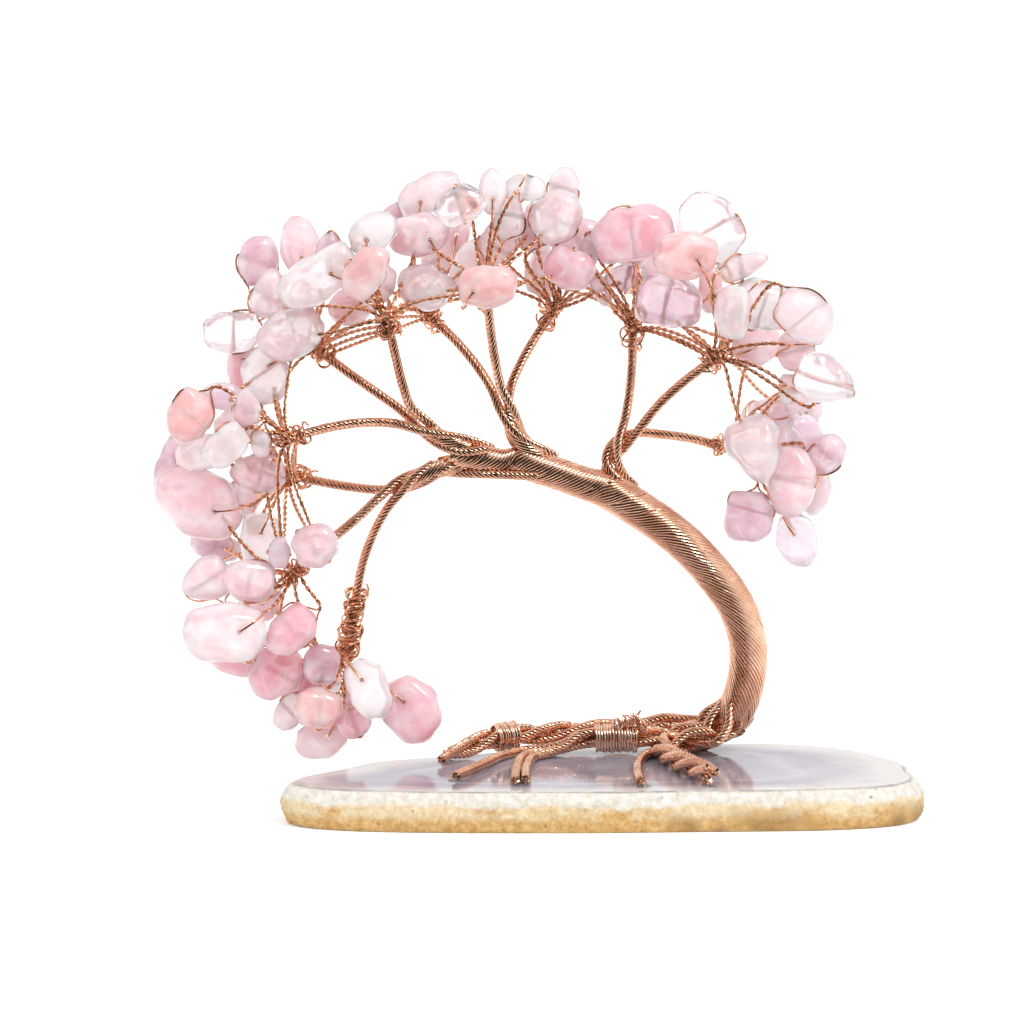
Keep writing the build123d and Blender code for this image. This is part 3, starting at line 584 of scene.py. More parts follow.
def shader_group(name, inputs, outputs):
    """An empty node group with named inputs and outputs."""
    tree = bpy.data.node_groups.new(name, "ShaderNodeTree")
    for label, kind, value in inputs:
        socket = tree.interface.new_socket(label, in_out="INPUT", socket_type="NodeSocket" + kind)
        socket.default_value = value
    for label, kind in outputs:
        tree.interface.new_socket(label, in_out="OUTPUT", socket_type="NodeSocket" + kind)
    n = Nodes(tree)
    return n, n.add("NodeGroupInput").outputs, n.add("NodeGroupOutput").inputs


def new_material(name):
    material = bpy.data.materials.new(name)
    material.use_nodes = True
    return material, Nodes(material.node_tree), material.node_tree.nodes["Principled BSDF"]


def place_group(n, group, **values):
    node = n.tree.nodes.new("ShaderNodeGroup")
    node.node_tree = group
    n.dress(node, **values)
    return node.outputs


def bump(n, height, distance, strength=1.0):
    return n.add("ShaderNodeBump", {"Height": height, "Distance": distance, "Strength": strength}).outputs[0]


def build_wear_group():
    """Soft blotches of tarnish over a fine grain. Size is the blotches' size in mm."""
    n, given, out = shader_group(
        "handled_surface",
        [("Size", "Float", 4.0), ("Amount", "Float", 0.5), ("Fine", "Float", 1.0)],
        [("Blotch", "Float"), ("Grain", "Float"), ("Height", "Float")],
    )
    where = n.place()
    coarse = n.maths("DIVIDE", PER_METRE, given["Size"])
    blotch = n.noise(where, coarse, Detail=4.0, Roughness=0.6)
    grain = n.noise(where, n.times(coarse, 9.0), Detail=3.0)
    n.feed(n.times(n.spread(blotch, 0.35, 0.7), given["Amount"]), out["Blotch"])
    n.feed(grain, out["Grain"])
    n.feed(n.times(grain, given["Fine"]), out["Height"])
    return n.tree


def build_cloud_group():
    """Cloudy veins, fine frosted cracks and soft pits of a tumbled stone. Vein Size is in mm."""
    n, given, out = shader_group(
        "quartz_clouds",
        [
            ("Body", "Color", (0.8, 0.5, 0.6, 1)), ("Vein", "Color", (0.9, 0.7, 0.8, 1)),
            ("Vein Size", "Float", 5.0), ("Crack", "Float", 0.4),
        ],
        [("Color", "Color"), ("Roughness", "Float"), ("Height", "Float")],
    )
    where = n.place()
    scale = n.maths("DIVIDE", PER_METRE, given["Vein Size"])
    cloud = n.noise(where, scale, Detail=5.0, Distortion=0.6)
    cells = {"Vector": where, "Scale": n.times(scale, 0.9)}
    edge = n.add("ShaderNodeTexVoronoi", cells, feature="DISTANCE_TO_EDGE").outputs["Distance"]
    fade = n.noise(where, n.times(scale, 0.7))
    line = n.times(n.spread(edge, 0.0, 0.05, 1.0, 0.0), n.spread(fade, 0.5, 0.62))
    line = n.times(line, given["Crack"])
    colour = n.mix(n.spread(cloud, 0.38, 0.66), given["Body"], given["Vein"])
    pits = n.noise(where, n.times(scale, 3.0), Detail=2.0)
    n.feed(n.mix(line, colour, rgba(FROSTED)), out["Color"])
    n.feed(n.spread(pits, 0.3, 0.75, 0.03, 0.12), out["Roughness"])
    n.feed(pits, out["Height"])
    return n.tree


WEAR = build_wear_group()
CLOUDS = build_cloud_group()


def copper(name, bright, dull, size, roughness):
    """Bare drawn copper, browner where it has tarnished."""
    material, n, shader = new_material(name)
    wear = place_group(n, WEAR, Size=size, Amount=0.75, Fine=1.0)
    colour = n.mix(wear["Blotch"], rgba(bright), rgba(dull))
    grain = n.spread(wear["Grain"], 0.3, 0.7, 0.0, 0.25)
    n.dress(
        shader,
        Base_Color=n.mix(grain, colour, rgba(dull)),
        Roughness=n.plus(n.times(wear["Blotch"], 0.16), roughness),
        Normal=bump(n, wear["Height"], 0.04 * MM, 0.4),
        Metallic=1.0,
    )
    return material


def quartz(name, body, vein, clear):
    """Polished cloudy stone that light goes some way into."""
    material, n, shader = new_material(name)
    stone = place_group(n, CLOUDS, Body=rgba(body), Vein=rgba(vein), Vein_Size=4.5, Crack=0.5)
    n.dress(
        shader,
        Base_Color=stone["Color"],
        Roughness=stone["Roughness"],
        Normal=bump(n, stone["Height"], 0.2 * MM, 0.25),
        IOR=1.54,
        Transmission_Weight=clear,
        Subsurface_Weight=0.8,
        Subsurface_Radius=(1.0, 0.7, 0.75),
        Subsurface_Scale=4 * MM,
        Coat_Weight=0.6,
        Coat_Roughness=0.03,
    )
    return material


QUARTZ = {name: quartz("quartz_" + name, *values) for name, values in TINTS.items()}
STRAND_COPPER, TWIG_COPPER, ROOT_COPPER = (copper(name, *values) for name, values in COPPERS.items())


# The trunk and three limbs: strands bundled under a close winding of thin wire

def even_out(values, count):
    """Moving average that keeps the ends."""
    padded = np.concatenate([values[:1].repeat(count, 0), values, values[-1:].repeat(count, 0)])
    weights = np.hanning(2 * count + 3)[1:-1]
    weights /= weights.sum()
    columns = [np.convolve(padded[:, k], weights, "valid") for k in range(padded.shape[1])]
    return np.stack(columns, axis=1)


def find_bundle(names, line, reach):
    """Middle line of bundled strands near a rough line, and how many of them lie in the bundle."""
    for _ in range(BUNDLE_ROUNDS):
        ways = directions(line)
        total, weight = np.zeros_like(line), np.zeros((len(line), 1))
        for name in names:
            strand = fine_lines[name]
            off = strand[None] - line[:, None]
            away = np.linalg.norm(off, axis=2)
            level = np.abs((off * ways[:, None]).sum(2))
            hit = strand[(level * 3 + away).argmin(axis=1)]
            far = np.linalg.norm(hit - line, axis=1)
            share = np.clip((reach * 1.2 - far) / (reach * 0.3), 0, 1)[:, None]
            total += share * hit
            weight += share
        line = even_out(np.where(weight > 0, total / np.maximum(weight, 1e-9), line), BUNDLE_EVENING)
    return line, even_out(weight, BUNDLE_EVENING)[:, 0]


strand_lines = {}
for spray in SPRAYS:
    line = tube_line(*merged("strand_" + spray), CAD_STRAND_SIDES)
    strand_lines[spray] = line[::-1] if line[0][2] > line[-1][2] else line
fine_lines = {spray: smooth_line(line, FINE_STEP) for spray, line in strand_lines.items()}


def trunk_bundle():
    """The trunk's middle, from just above its foot to where its winding ends."""
    guide = fine_lines["upper_top"]
    across = MIDDLE_PIXELS + guide[:, 0] / PIXEL
    first = np.where((guide[:, 2] > TRUNK_FOOT) & (guide[:, 0] > TRUNK_FOOT_LEFT))[0][0]
    last = np.where((across < TRUNK_TIP_PIXELS) & (guide[:, 2] > CROWN_HEIGHT))[0][0]
    return find_bundle(SPRAYS, guide[first:last:2], TRUNK_REACH)


def limb_bundle(names, start, end):
    """A limb's middle between the stations that are seen nearest to two pixels."""
    guide = fine_lines[names[-1]]
    seen = np.array([seen_at(point) for point in guide])
    far_off = np.where(guide[:, 2] > LIMB_HEIGHT, 0, 1e6)
    first, last = ((np.linalg.norm(seen - spot, axis=1) + far_off).argmin() for spot in (start, end))
    return find_bundle(names, guide[first:last:2], LIMB_REACH)


class Winding:
    """Thin wires laid side by side over a bundle of strands."""

    def __init__(self, line, strands, slopes, lead, tail):
        self.line = smooth_line(line, WINDING_STEP)
        run, old = run_along(self.line), run_along(line)
        strands = np.interp(run / run[-1], old / old[-1], strands)
        self.radius = WINDING_FULLNESS * STRAND_RADIUS * np.sqrt(strands)
        narrow = np.minimum(1, 0.8 + 0.2 * np.sqrt(run / lead))
        narrow *= np.minimum(1, 0.7 + 0.3 * np.sqrt((run[-1] - run) / tail))
        self.radius = self.radius * narrow
        slope = np.interp(run, *zip(*slopes))
        self.turn = np.concatenate([[0], np.cumsum(np.diff(run) * (slope / self.radius)[1:])])
        self.around = 2 * np.pi * self.radius / np.sqrt(1 + slope**2)

    def wires(self, seed):
        """The wires' lines: as many at each station as fit side by side there."""
        fit = self.around / WINDING_SPACING
        most = int(math.ceil(fit.max()))
        rank = np.arange(most)
        random.Random(seed).shuffle(rank)
        alive = np.clip(fit[:, None] - rank[None], 0, 1)
        places = (np.cumsum(alive, axis=1) - alive / 2) / alive.sum(axis=1)[:, None]
        _, sides, thirds = travelling_frame(self.line)
        made = []
        for wire in range(most):
            there = np.where(alive[:, wire] > 0)[0]
            low, high = max(0, there[0] - 3), min(len(self.line), there[-1] + 4)
            outward = circling(2 * np.pi * places[:, wire] - self.turn, sides, thirds)
            # A wire dives under the others where it no longer fits
            depth = self.radius - WINDING_WIRE * (0.5 + 3 * (1 - alive[:, wire]))
            points = self.line + depth[:, None] * outward
            points[:, 2] = np.maximum(points[:, 2], SLAB_TOP + WINDING_WIRE)
            made.append((points[low:high], outward[low:high]))
        return made

    def holds(self, line):
        """Which stations of a strand lie inside the winding."""
        far = np.linalg.norm(self.line[None] - line[:, None], axis=2)
        near = far.argmin(axis=1)
        inner = (near > 2) & (near < len(self.line) - 8)
        return inner & (far.min(axis=1) < self.radius[near] + 0.3 * STRAND_RADIUS)


windings = {"trunk": Winding(*trunk_bundle(), TRUNK_LAY_SLOPES, WINDING_LEAD, TRUNK_TAIL)}
for name, names, start, end in LIMBS:
    windings[name] = Winding(*limb_bundle(names, start, end), LIMB_LAY_SLOPES, WINDING_LEAD, LIMB_TAIL)

for name, winding in windings.items():
    tubes = Tubes()
    for number, (wire, outward) in enumerate(winding.wires(name)):
        if len(wire) > 3:
            height = WINDING_WIRE * (0.5 + 0.1 * math.sin(number * 2.4))
            tubes.add_pressed(wire, outward, WINDING_WIRE * 1.18, height, WINDING_SIDES)
    tubes.add(winding.line, winding.radius - WINDING_WIRE, CORE_SIDES)
    make_wires(name + "_winding", tubes, STRAND_COPPER, "copper_strand")


# Strands: each a rope of thin wires

def add_rope(tubes, line, turn):
    """A strand laid from thin wires round a middle one."""
    run = run_along(line)
    _, sides, thirds = travelling_frame(line)
    tubes.add(line, WIRE_RADIUS, WIRE_SIDES)
    for wire in range(WIRES_ROUND):
        angle = turn + run / ROPE_LAY * 2 * np.pi + wire * 2 * np.pi / WIRES_ROUND
        out = (ROPE_RADIUS - WIRE_RADIUS) * circling(angle, sides, thirds)
        tubes.add(line + out, WIRE_RADIUS, WIRE_SIDES)


for number, spray in enumerate(SPRAYS):
    line = smooth_line(strand_lines[spray], ROPE_STEP)
    hidden = np.any([winding.holds(line) for winding in windings.values()], axis=0)
    # Parts inside the windings are left out, apart from a short tail at each end
    tail = int(ROPE_TAIL / ROPE_STEP)
    bare = np.array([not hidden[max(0, k - tail):k + tail + 1].all() for k in range(len(line))])
    edges = np.flatnonzero(np.diff(np.concatenate([[0], bare.astype(int), [0]])))
    tubes = Tubes()
    for first, last in zip(edges[::2], edges[1::2]):
        if last - first > 3:
            add_rope(tubes, line[first:last], number)
    make_wires("rope_" + spray, tubes, STRAND_COPPER, "copper_strand", "strand_" + spray)


# Chips

def read_chip(points, triangles):
    """Where a drilled chip lies: its hull's planes, middle, the way through it and its hole."""
    a, b, c = (points[triangles[:, k]] for k in range(3))
    normal = np.cross(b - a, c - a)
    area = np.linalg.norm(normal, axis=1)
    normal = normal / area[:, None]
    middle = (a + b + c) / 3
    # Parts of the chip stand well proud of the planes of its hole's walls, and of no others
    proud = (points[None] * normal[:, None]).sum(2).max(1) - (a * normal).sum(1)
    inner = proud > HOLE_WALL_PROUD
    outer = ~inner
    largest = normal[outer][np.argmax(area[outer])]
    through = largest if largest[1] > 0 else -largest
    weight = area[outer][:, None]
    centre = (middle[outer] * weight).sum(0) / weight.sum()
    walls = inner & (np.abs(normal @ through) < 0.1)
    hole = middle[walls].mean(0) if walls.any() else centre
    hole = hole + (centre - hole).dot(through) * through
    planes = {}
    for n, p in zip(normal[outer], a[outer]):
        planes[tuple(n.round(3))] = (n, (p - centre).dot(n))
    return {
        "middle": centre,
        "through": through,
        "hole": hole,
        "normals": np.array([n for n, _ in planes.values()]),
        "offsets": np.array([d for _, d in planes.values()]),
        "points": points,
    }


def even_ball():
    """Points and faces spread evenly round a middle, from which the stones are pulled."""
    ball = bmesh.new()
    bmesh.ops.create_icosphere(ball, subdivisions=4, radius=1.0)
    made = np.array([v.co for v in ball.verts]), [[v.index for v in f.verts] for f in ball.faces]
    ball.free()
    return made


BALL_POINTS, BALL_FACES = even_ball()


def reach_of(chip, ways):
    """How far the rounded stone reaches from its middle along each way."""
    slope = np.clip(ways @ chip["normals"].T, 1e-6, None) / chip["offsets"][None]
    return (slope**STONE_SHARPNESS).sum(1) ** (-1 / STONE_SHARPNESS) * STONE_FULLNESS


def pebble(chip, seed):
    """Points of a rounded tumbled stone that fills a chip's hull."""
    points = chip["points"] - chip["middle"]
    through = chip["through"]
    flat = points - (points @ through)[:, None] * through
    _, _, axes = np.linalg.svd(flat, full_matrices=False)
    along = axes[0]
    basis = np.stack([along, np.cross(through, along), through])
    half = np.abs(points @ basis.T).max(0)
    ways = (BALL_POINTS * half) @ basis
    ways /= np.linalg.norm(ways, axis=1)[:, None]
    draw = random.Random(seed)
    shift = Vector([draw.uniform(-9, 9) for _ in range(3)])
    dents = []
    for way in ways:
        swell = sum(noise.noise(Vector(way) * rate + shift) * height for rate, height in STONE_SWELLS)
        dents.append(1.0 + min(swell, 0.03) + 0.01)
    made = ways * (reach_of(chip, ways) * np.array(dents))[:, None]
    # A stone at the edge of the crown keeps inside the object's box
    for axis in range(3):
        for side in (-1, 1):
            room = abs(cad_box[side > 0][axis] - chip["middle"][axis]) - EDGE_ROOM
            outmost = (made[:, axis] * side).max()
            if outmost > room:
                outer = made[:, axis] * side > 0
                made[outer, axis] *= room / outmost
    return chip["middle"] + made


def build_mesh(name, points, faces, marks=None):
    mesh = bpy.data.meshes.new(name)
    mesh.from_pydata(np.asarray(points).tolist(), [], faces)
    if marks is not None:
        mesh.polygons.foreach_set("material_index", marks)
    mesh.shade_smooth()
    return mesh


def drilled(name, mesh, chips, radius):
    """The stones' mesh with a straight hole drilled through each."""
    stones = put_in_scene(name + "_blank", mesh)
    drills = Tubes()
    for chip in chips:
        reach = chip["through"] * DRILL_REACH
        drills.add(np.linspace(chip["hole"] - reach, chip["hole"] + reach, 3), radius, DRILL_SIDES)
    cutter = put_in_scene(name + "_drill", drills.mesh(name + "_drill"))
    cut = stones.modifiers.new("drill", "BOOLEAN")
    cut.operation, cut.solver, cut.object = "DIFFERENCE", "MANIFOLD", cutter
    graph = bpy.context.evaluated_depsgraph_get()
    graph.update()
    made = bpy.data.meshes.new_from_object(stones.evaluated_get(graph))
    made.name = name
    for thing in (stones, cutter):
        bpy.data.objects.remove(thing)
    made.shade_smooth()
    made.set_sharp_from_angle(angle=STONE_CREASE)
    return made


def match_tints(chips, table):
    """Gives each chip the tint of the nearest named place, each place once."""
    pairs = []
    for i, chip in enumerate(chips):
        spot = seen_at(chip["middle"])
        for j, (x, y, _) in enumerate(table):
            pairs.append((np.hypot(spot[0] - x, spot[1] - y), i, j))
    found, used = {}, set()
    for _, i, j in sorted(pairs):
        if i not in found and j not in used:
            found[i] = table[j][2]
            used.add(j)
    return [found.get(i, "pink") for i in range(len(chips))]


sprays_chips = {}
for spray in SPRAYS:
    chips = [read_chip(*island) for island in islands(*merged("chips_" + spray))]
    sprays_chips[spray] = chips
    tints = match_tints(chips, TINTS_PIXELS[spray])
    used = sorted(set(tints))
    points = np.concatenate([pebble(chip, spray + str(number)) for number, chip in enumerate(chips)])
    faces, marks = [], []
    for number, tint in enumerate(tints):
        faces += [[v + number * len(BALL_POINTS) for v in face] for face in BALL_FACES]
        marks += [used.index(tint)] * len(BALL_FACES)
    name = "stones_" + spray
    mesh = build_mesh(name, points, faces, marks)
    for tint in used:
        mesh.materials.append(QUARTZ[tint])
    make_piece(name, drilled(name, mesh, chips, HOLE_RADIUS), None, "rose_quartz", "tree", "chips_" + spray)

pendant_chips = {}
for pendant, spray in PENDANTS.items():
    chip = read_chip(*merged(pendant))
    pendant_chips.setdefault(spray, []).append(chip)
    mesh = build_mesh(pendant, pebble(chip, pendant), BALL_FACES)
    mesh.materials.append(QUARTZ[PENDANT_TINTS[pendant]])
    name = pendant + "_stone"
    mesh = drilled(name, mesh, [chip], PENDANT_HOLE_RADIUS)
    make_piece(name, mesh, None, "rose_quartz", pendant, pendant)


# Twigs: wires twisted on themselves from a strand's end to each chip and through its hole

def rim_distance(chip, way):
    """How far back from the hole the stone's edge is."""
    rim = MM
    for back in np.linspace(0, 8 * MM, 60):
        off = chip["hole"] - way * back - chip["middle"]
        if reach_of(chip, unit(off)[None])[0] > np.linalg.norm(off):
            rim = back
    return rim


def twig_line(chip, hub, way_out, outward, draw):
    """Axis of the twisted run up to the chip's rim, its last direction, and the rim's distance."""
    hole, through, middle = chip["hole"], chip["through"], chip["middle"]
    way = unit(hole - hub)
    way = unit(way - way.dot(through) * through)
    way = unit(way + 0.35 * unit(middle - hole))
    far = np.linalg.norm(hole - hub)
    rim = rim_distance(chip, way)
    neck = hole - way * min(rim + TWIG_NECK, far * 0.8)
    pull = np.linalg.norm(neck - hub) * 0.4
    root = hub - way_out * 3 * MM + outward * 0.25 * MM
    sway = any_way(draw) * pull * 0.16
    start = hub + outward * 0.55 * MM
    leave = hub + outward * 0.6 * MM + way_out * pull + sway
    arrive = neck - way * pull * 0.6 - sway * 0.5
    return np.concatenate([[root], arc(start, leave, arrive, neck, TWIG_STATIONS)]), way, rim


def face_of(chip, spot, side):
    """The stone's surface above a spot, on the side that faces this way."""
    low, high = 0.0, 6 * MM
    for _ in range(18):
        half = (low + high) / 2
        off = spot + side * half - chip["middle"]
        if np.linalg.norm(off) < reach_of(chip, unit(off)[None])[0]:
            low = half
        else:
            high = half
    return spot + side * low


def hairpin(chip, hub, way_out, outward, draw):
    """One wire: twisted on itself up to the chip, parted over its two faces, and through its hole."""
    axis, way, rim = twig_line(chip, hub, way_out, outward, draw)
    axis = smooth_line(axis, TWIG_STEP)
    run = run_along(axis)
    _, sides, thirds = travelling_frame(axis)
    hole, through = chip["hole"], chip["through"]
    # The twist ends with its two wires on opposite sides of the chip
    end_phase = math.atan2(through.dot(thirds[-1]), through.dot(sides[-1]))
    phase = end_phase + (run[-1] - run) / TWIG_LAY * 2 * math.pi
    ring = TWIST_RADIUS * circling(phase, sides, thirds)
    legs = []
    for sign in (1, -1):
        near = through * sign
        leg = list(axis + sign * ring)
        for share in LEG_SHARES:
            leg.append(face_of(chip, hole - way * rim * share, near) + near * TWIG_LIFT)
        over = face_of(chip, hole, near)
        leg.append(over + near * TWIG_LIFT * 0.4)
        leg.append(hole + near * np.linalg.norm(over - hole) * 0.4)
        legs.append(np.array(leg))
    whole = np.concatenate([legs[0], legs[1][::-1]])
    keep = [whole[0]]
    for point in whole[1:]:
        if np.linalg.norm(point - keep[-1]) > LEG_GAP:
            keep.append(point)
    return smooth_line(keep, LEG_STEP)


def add_tangle(tubes, middle, way, size, draw, loops):
    """Loose loops of wire wound round a place, each on its own tilt."""
    for _ in range(loops):
        turns = draw.uniform(1.6, 2.8)
        t = np.linspace(0, 1, int(turns * 26))
        angle = t * turns * 2 * np.pi + draw.uniform(0, 6)
        lean = any_way(draw)
        over = unit(way + TANGLE_LEAN * lean)
        side = unit(np.cross(over, lean + [0.1, 0.2, 0.3]))
        third = unit(np.cross(over, side) + over * draw.uniform(-0.6, 0.6))
        reach = size * (0.56 + 0.2 * np.sin(angle * draw.uniform(0.3, 0.5)) + 0.1 * np.sin(angle * 2.3))
        along = (t - 0.5) * size * draw.uniform(0.8, 2.4) + 0.25 * size * np.sin(angle * 0.7)
        ring = reach[:, None] * circling(angle, side, third)
        tubes.add(middle + ring + along[:, None] * way, TWIG_RADIUS, TWIG_SIDES)


def add_twist(tubes, axis):
    """Two wires twisted on each other along a line."""
    axis = smooth_line(axis, TWIG_STEP)
    _, sides, thirds = travelling_frame(axis)
    ring = TWIST_RADIUS * circling(run_along(axis) / TWIG_LAY * 2 * math.pi, sides, thirds)
    for sign in (1, -1):
        tubes.add(axis + sign * ring, TWIG_RADIUS, TWIG_SIDES)


def add_crossings(tubes, spray, hub, way_out, draw):
    """Twisted wires that cross from a hub to stones of the sprays beside it."""
    others = [chip for other in SPRAYS if other != spray for chip in sprays_chips[other]]
    others.sort(key=lambda chip: np.linalg.norm(chip["middle"] - hub))
    for chip in others[:CROSSINGS]:
        end = chip["middle"]
        far = np.linalg.norm(end - hub)
        if far > CROSSING_REACH:
            continue
        way = unit(end - hub)
        sway = any_way(draw) * far * CROSSING_SWAY
        stop = end - way * reach_of(chip, -way[None])[0] * 0.6
        leave = hub + way_out * far * 0.3
        add_twist(tubes, arc(hub, leave, stop - way * far * 0.3 + sway, stop, LOOSE_STATIONS))


def add_net(tubes, spray, hub, way_out, draw):
    """Twisted wires slung from a strand's end to the ends of the strands beside it."""
    for other in NETS.get(spray, ()):
        line = strand_lines[other]
        end, other_out = line[-1], unit(line[-1] - line[-2])
        far = np.linalg.norm(end - hub)
        for wire in range(NET_WIRES):
            near_sway, far_sway = (any_way(draw) * far * NET_SWAY for _ in range(2))
            lift = far * (NET_LIFT + NET_LIFT_STEP * wire)
            leave = hub + way_out * lift + near_sway
            arrive = end + other_out * lift + far_sway
            add_twist(tubes, arc(hub, leave, arrive, end, LOOSE_STATIONS))


for spray in SPRAYS:
    draw = random.Random("twigs " + spray)
    strand = strand_lines[spray]
    hub, way_out = strand[-1], unit(strand[-1] - strand[-2])
    chips = sprays_chips[spray] + pendant_chips.get(spray, [])
    side = unit(np.cross(way_out, [0.0, 1.0, 0.2]))
    third = np.cross(way_out, side)
    offs = [chip["hole"] - hub for chip in chips]
    bearing = [math.atan2(off.dot(third), off.dot(side)) for off in offs]
    order = sorted(range(len(chips)), key=lambda k: bearing[k])
    tubes = Tubes()
    # The twigs leave the hub evenly round it, in the order in which their chips lie
    for place, k in enumerate(order):
        angle = bearing[order[0]] + place * 2 * math.pi / len(chips)
        outward = math.cos(angle) * side + math.sin(angle) * third
        tubes.add(hairpin(chips[k], hub, way_out, outward, draw), TWIG_RADIUS, TWIG_SIDES)
    for back in TANGLES.get(spray, TANGLE_AT_END):
        add_tangle(tubes, hub - way_out * back * MM, way_out, TANGLE_SIZE, draw, TANGLE_LOOPS)
    add_crossings(tubes, spray, hub, way_out, draw)
    add_net(tubes, spray, hub, way_out, draw)
    make_wires("twisted_twigs_" + spray, tubes, TWIG_COPPER, "copper_wire", "twigs_" + spray)


# Windings round the roots, and a knot of wire that stands up from them

def wind_closely(node):
    """The winding's loops laid side by side on the line that the solid winding goes round."""
    line = tube_line(*merged(node), CAD_COIL_WIRE_SIDES)
    last = len(line) - CAD_COIL_SIDES + 1
    axis = np.array([line[i:i + CAD_COIL_SIDES].mean(axis=0) for i in range(last)])
    axis = smooth_line(axis[[0, len(axis) // 2, -1]], FINE_STEP)
    reach = np.median([np.linalg.norm(axis - point, axis=1).min() for point in line])
    _, sides, thirds = travelling_frame(axis)
    run = run_along(axis)
    turns = run[-1] / BINDING_PITCH
    t = np.linspace(0, 1, int(turns * 28))
    at = t * run[-1]
    middle, side, third = (
        np.stack([np.interp(at, run, rows[:, k]) for k in range(3)], axis=1)
        for rows in (axis, sides, thirds)
    )
    angle = 2 * np.pi * turns * t
    loose = 1 + 0.05 * np.sin(angle * 0.37) + 0.03 * np.sin(angle * 1.9)
    return middle + (reach * 0.93 * loose)[:, None] * circling(angle, side, third)


for node in ("root_binding", "high_root_binding"):
    tubes = Tubes()
    tubes.add(wind_closely(node), BINDING_WIRE, TWIG_SIDES)
    make_wires(node + "_wire", tubes, ROOT_COPPER, "copper_wire", node)

knot = Tubes()
draw = random.Random("knot")
for x, y in KNOT_PIXELS:
    add_tangle(knot, spot_at(x, y, KNOT_BACK), unit(np.array([1.0, 0.2, 0.3])), KNOT_SIZE, draw, KNOT_LOOPS)
make_wires("root_knot", knot, ROOT_COPPER, "copper_wire")


# Agate slab

def slab_outline():
    """The slab's middle and half sizes, and its corners' turn and reach about the middle."""
    points, _ = merged("agate_slab")
    heights = points[:, 2]
    belly = points[(heights > 1 * MM) & (heights < SLAB_TOP - 1 * MM)]
    centre = (belly.max(0) + belly.min(0))[:2] / 2
    flat = belly[:, :2] - centre
    half = np.abs(flat).max(axis=0)
    turn = np.arctan2(flat[:, 1] / half[1], flat[:, 0] / half[0])
    reach = np.hypot(flat[:, 0] / half[0], flat[:, 1] / half[1])
    order = np.argsort(turn)
    return centre, half, np.column_stack([turn[order], reach[order]])


def slab_ring(half, reaches, count):
    """A smooth closed outline that keeps only the slow waves of the corners' reach."""
    turns = np.arange(count) * 2 * np.pi / count - np.pi
    fine = np.interp(turns, reaches[:, 0], reaches[:, 1], period=2 * np.pi)
    waves = np.fft.rfft(fine)
    waves[OUTLINE_WAVES + 1:] = 0
    reach = np.fft.irfft(waves, count)
    ring = np.column_stack([np.cos(turns) * reach * half[0], np.sin(turns) * reach * half[1]])
    ring -= (ring.max(axis=0) + ring.min(axis=0)) / 2
    return ring * half / ring.max(axis=0)


def band_faces(start, count, bands):
    """Four-sided faces between rings of points, band after band."""
    faces = []
    for band in range(bands):
        a = start + band * count
        for i in range(count):
            j = (i + 1) % count
            faces.append([a + i, a + j, a + count + j, a + count + i])
    return faces


def rim_relief(point):
    """How far the rough rind is cut back at a point: broad dents, lumps and grains."""
    dents = noise.noise(Vector((point.x, point.y, point.z * 1.5)) * RIM_DENTS)
    lumps = noise.noise(point * RIM_LUMPS)
    grains = noise.noise(point * RIM_GRAINS)
    return min((dents - 0.5) * 0.4 + (lumps - 0.4) * 0.45 + (grains - 0.4) * 0.3, 0) * MM


def build_slab():
    centre, half, reaches = slab_outline()
    ring = slab_ring(half, reaches, SLAB_CORNERS)
    rows = []
    for level, (share, height) in enumerate(SLAB_PROFILE):
        # The relief fades out at the rim's two edges
        edge = min(1.0, (level - RIM_RUN[0]) / 2, (RIM_RUN[1] - level) / 2)
        for x, y in ring:
            point = Vector((x * share, y * share, height * MM))
            if edge > 0:
                point += Vector((x, y, 0)).normalized() * rim_relief(point) * edge
            rows.append((point.x + centre[0], point.y + centre[1], point.z))
    count = len(ring)
    faces = band_faces(count, count, len(SLAB_PROFILE) - 3)
    # The first and last rings are single points, in the middle of the foot and of the face
    last = (len(SLAB_PROFILE) - 1) * count
    for i in range(count):
        j = (i + 1) % count
        faces.append([0, count + j, count + i])
        faces.append([last, last - count + i, last - count + j])
    used = sorted({v for face in faces for v in face})
    renumber = {v: k for k, v in enumerate(used)}
    faces = [[renumber[v] for v in face] for face in faces]
    mesh = build_mesh("agate_slice", [rows[v] for v in used], faces)
    out = mesh.attributes.new("way_out", "FLOAT", "POINT")
    out.data.foreach_set("value", [SLAB_PROFILE[v // count][0] for v in used])
    mesh.set_sharp_from_angle(angle=SLAB_CREASE)
    return mesh


def face_colour(n, where, out):
    """The polished face: clouded, with a pale ring, and warmer and stained towards the rim."""
    sway = n.noise(where, 60.0, Detail=5.0)
    cloud = n.noise(where, 38.0, Detail=6.0, Roughness=0.6, Distortion=0.8)
    face = n.mix(n.spread(cloud, 0.36, 0.64), rgba(FACE_DEEP), rgba(FACE_CLOUD))
    field = n.plus(out, n.spread(sway, 0.3, 0.7, -0.06, 0.06))
    from_ring = n.maths("ABSOLUTE", n.maths("SUBTRACT", field, FACE_RING_OUT))
    face = n.mix(n.spread(from_ring, 0.0, 0.05, 0.35, 0.0), face, rgba(FACE_RING))
    warm = n.spread(field, 0.74, 0.9)
    face = n.mix(warm, face, rgba(FACE_WARM))
    patch = n.noise(where, 75.0, Detail=4.0, Roughness=0.6)
    stain = n.times(n.spread(patch, 0.56, 0.68), warm)
    return n.mix(n.times(stain, 0.6), face, rgba(FACE_STAIN))


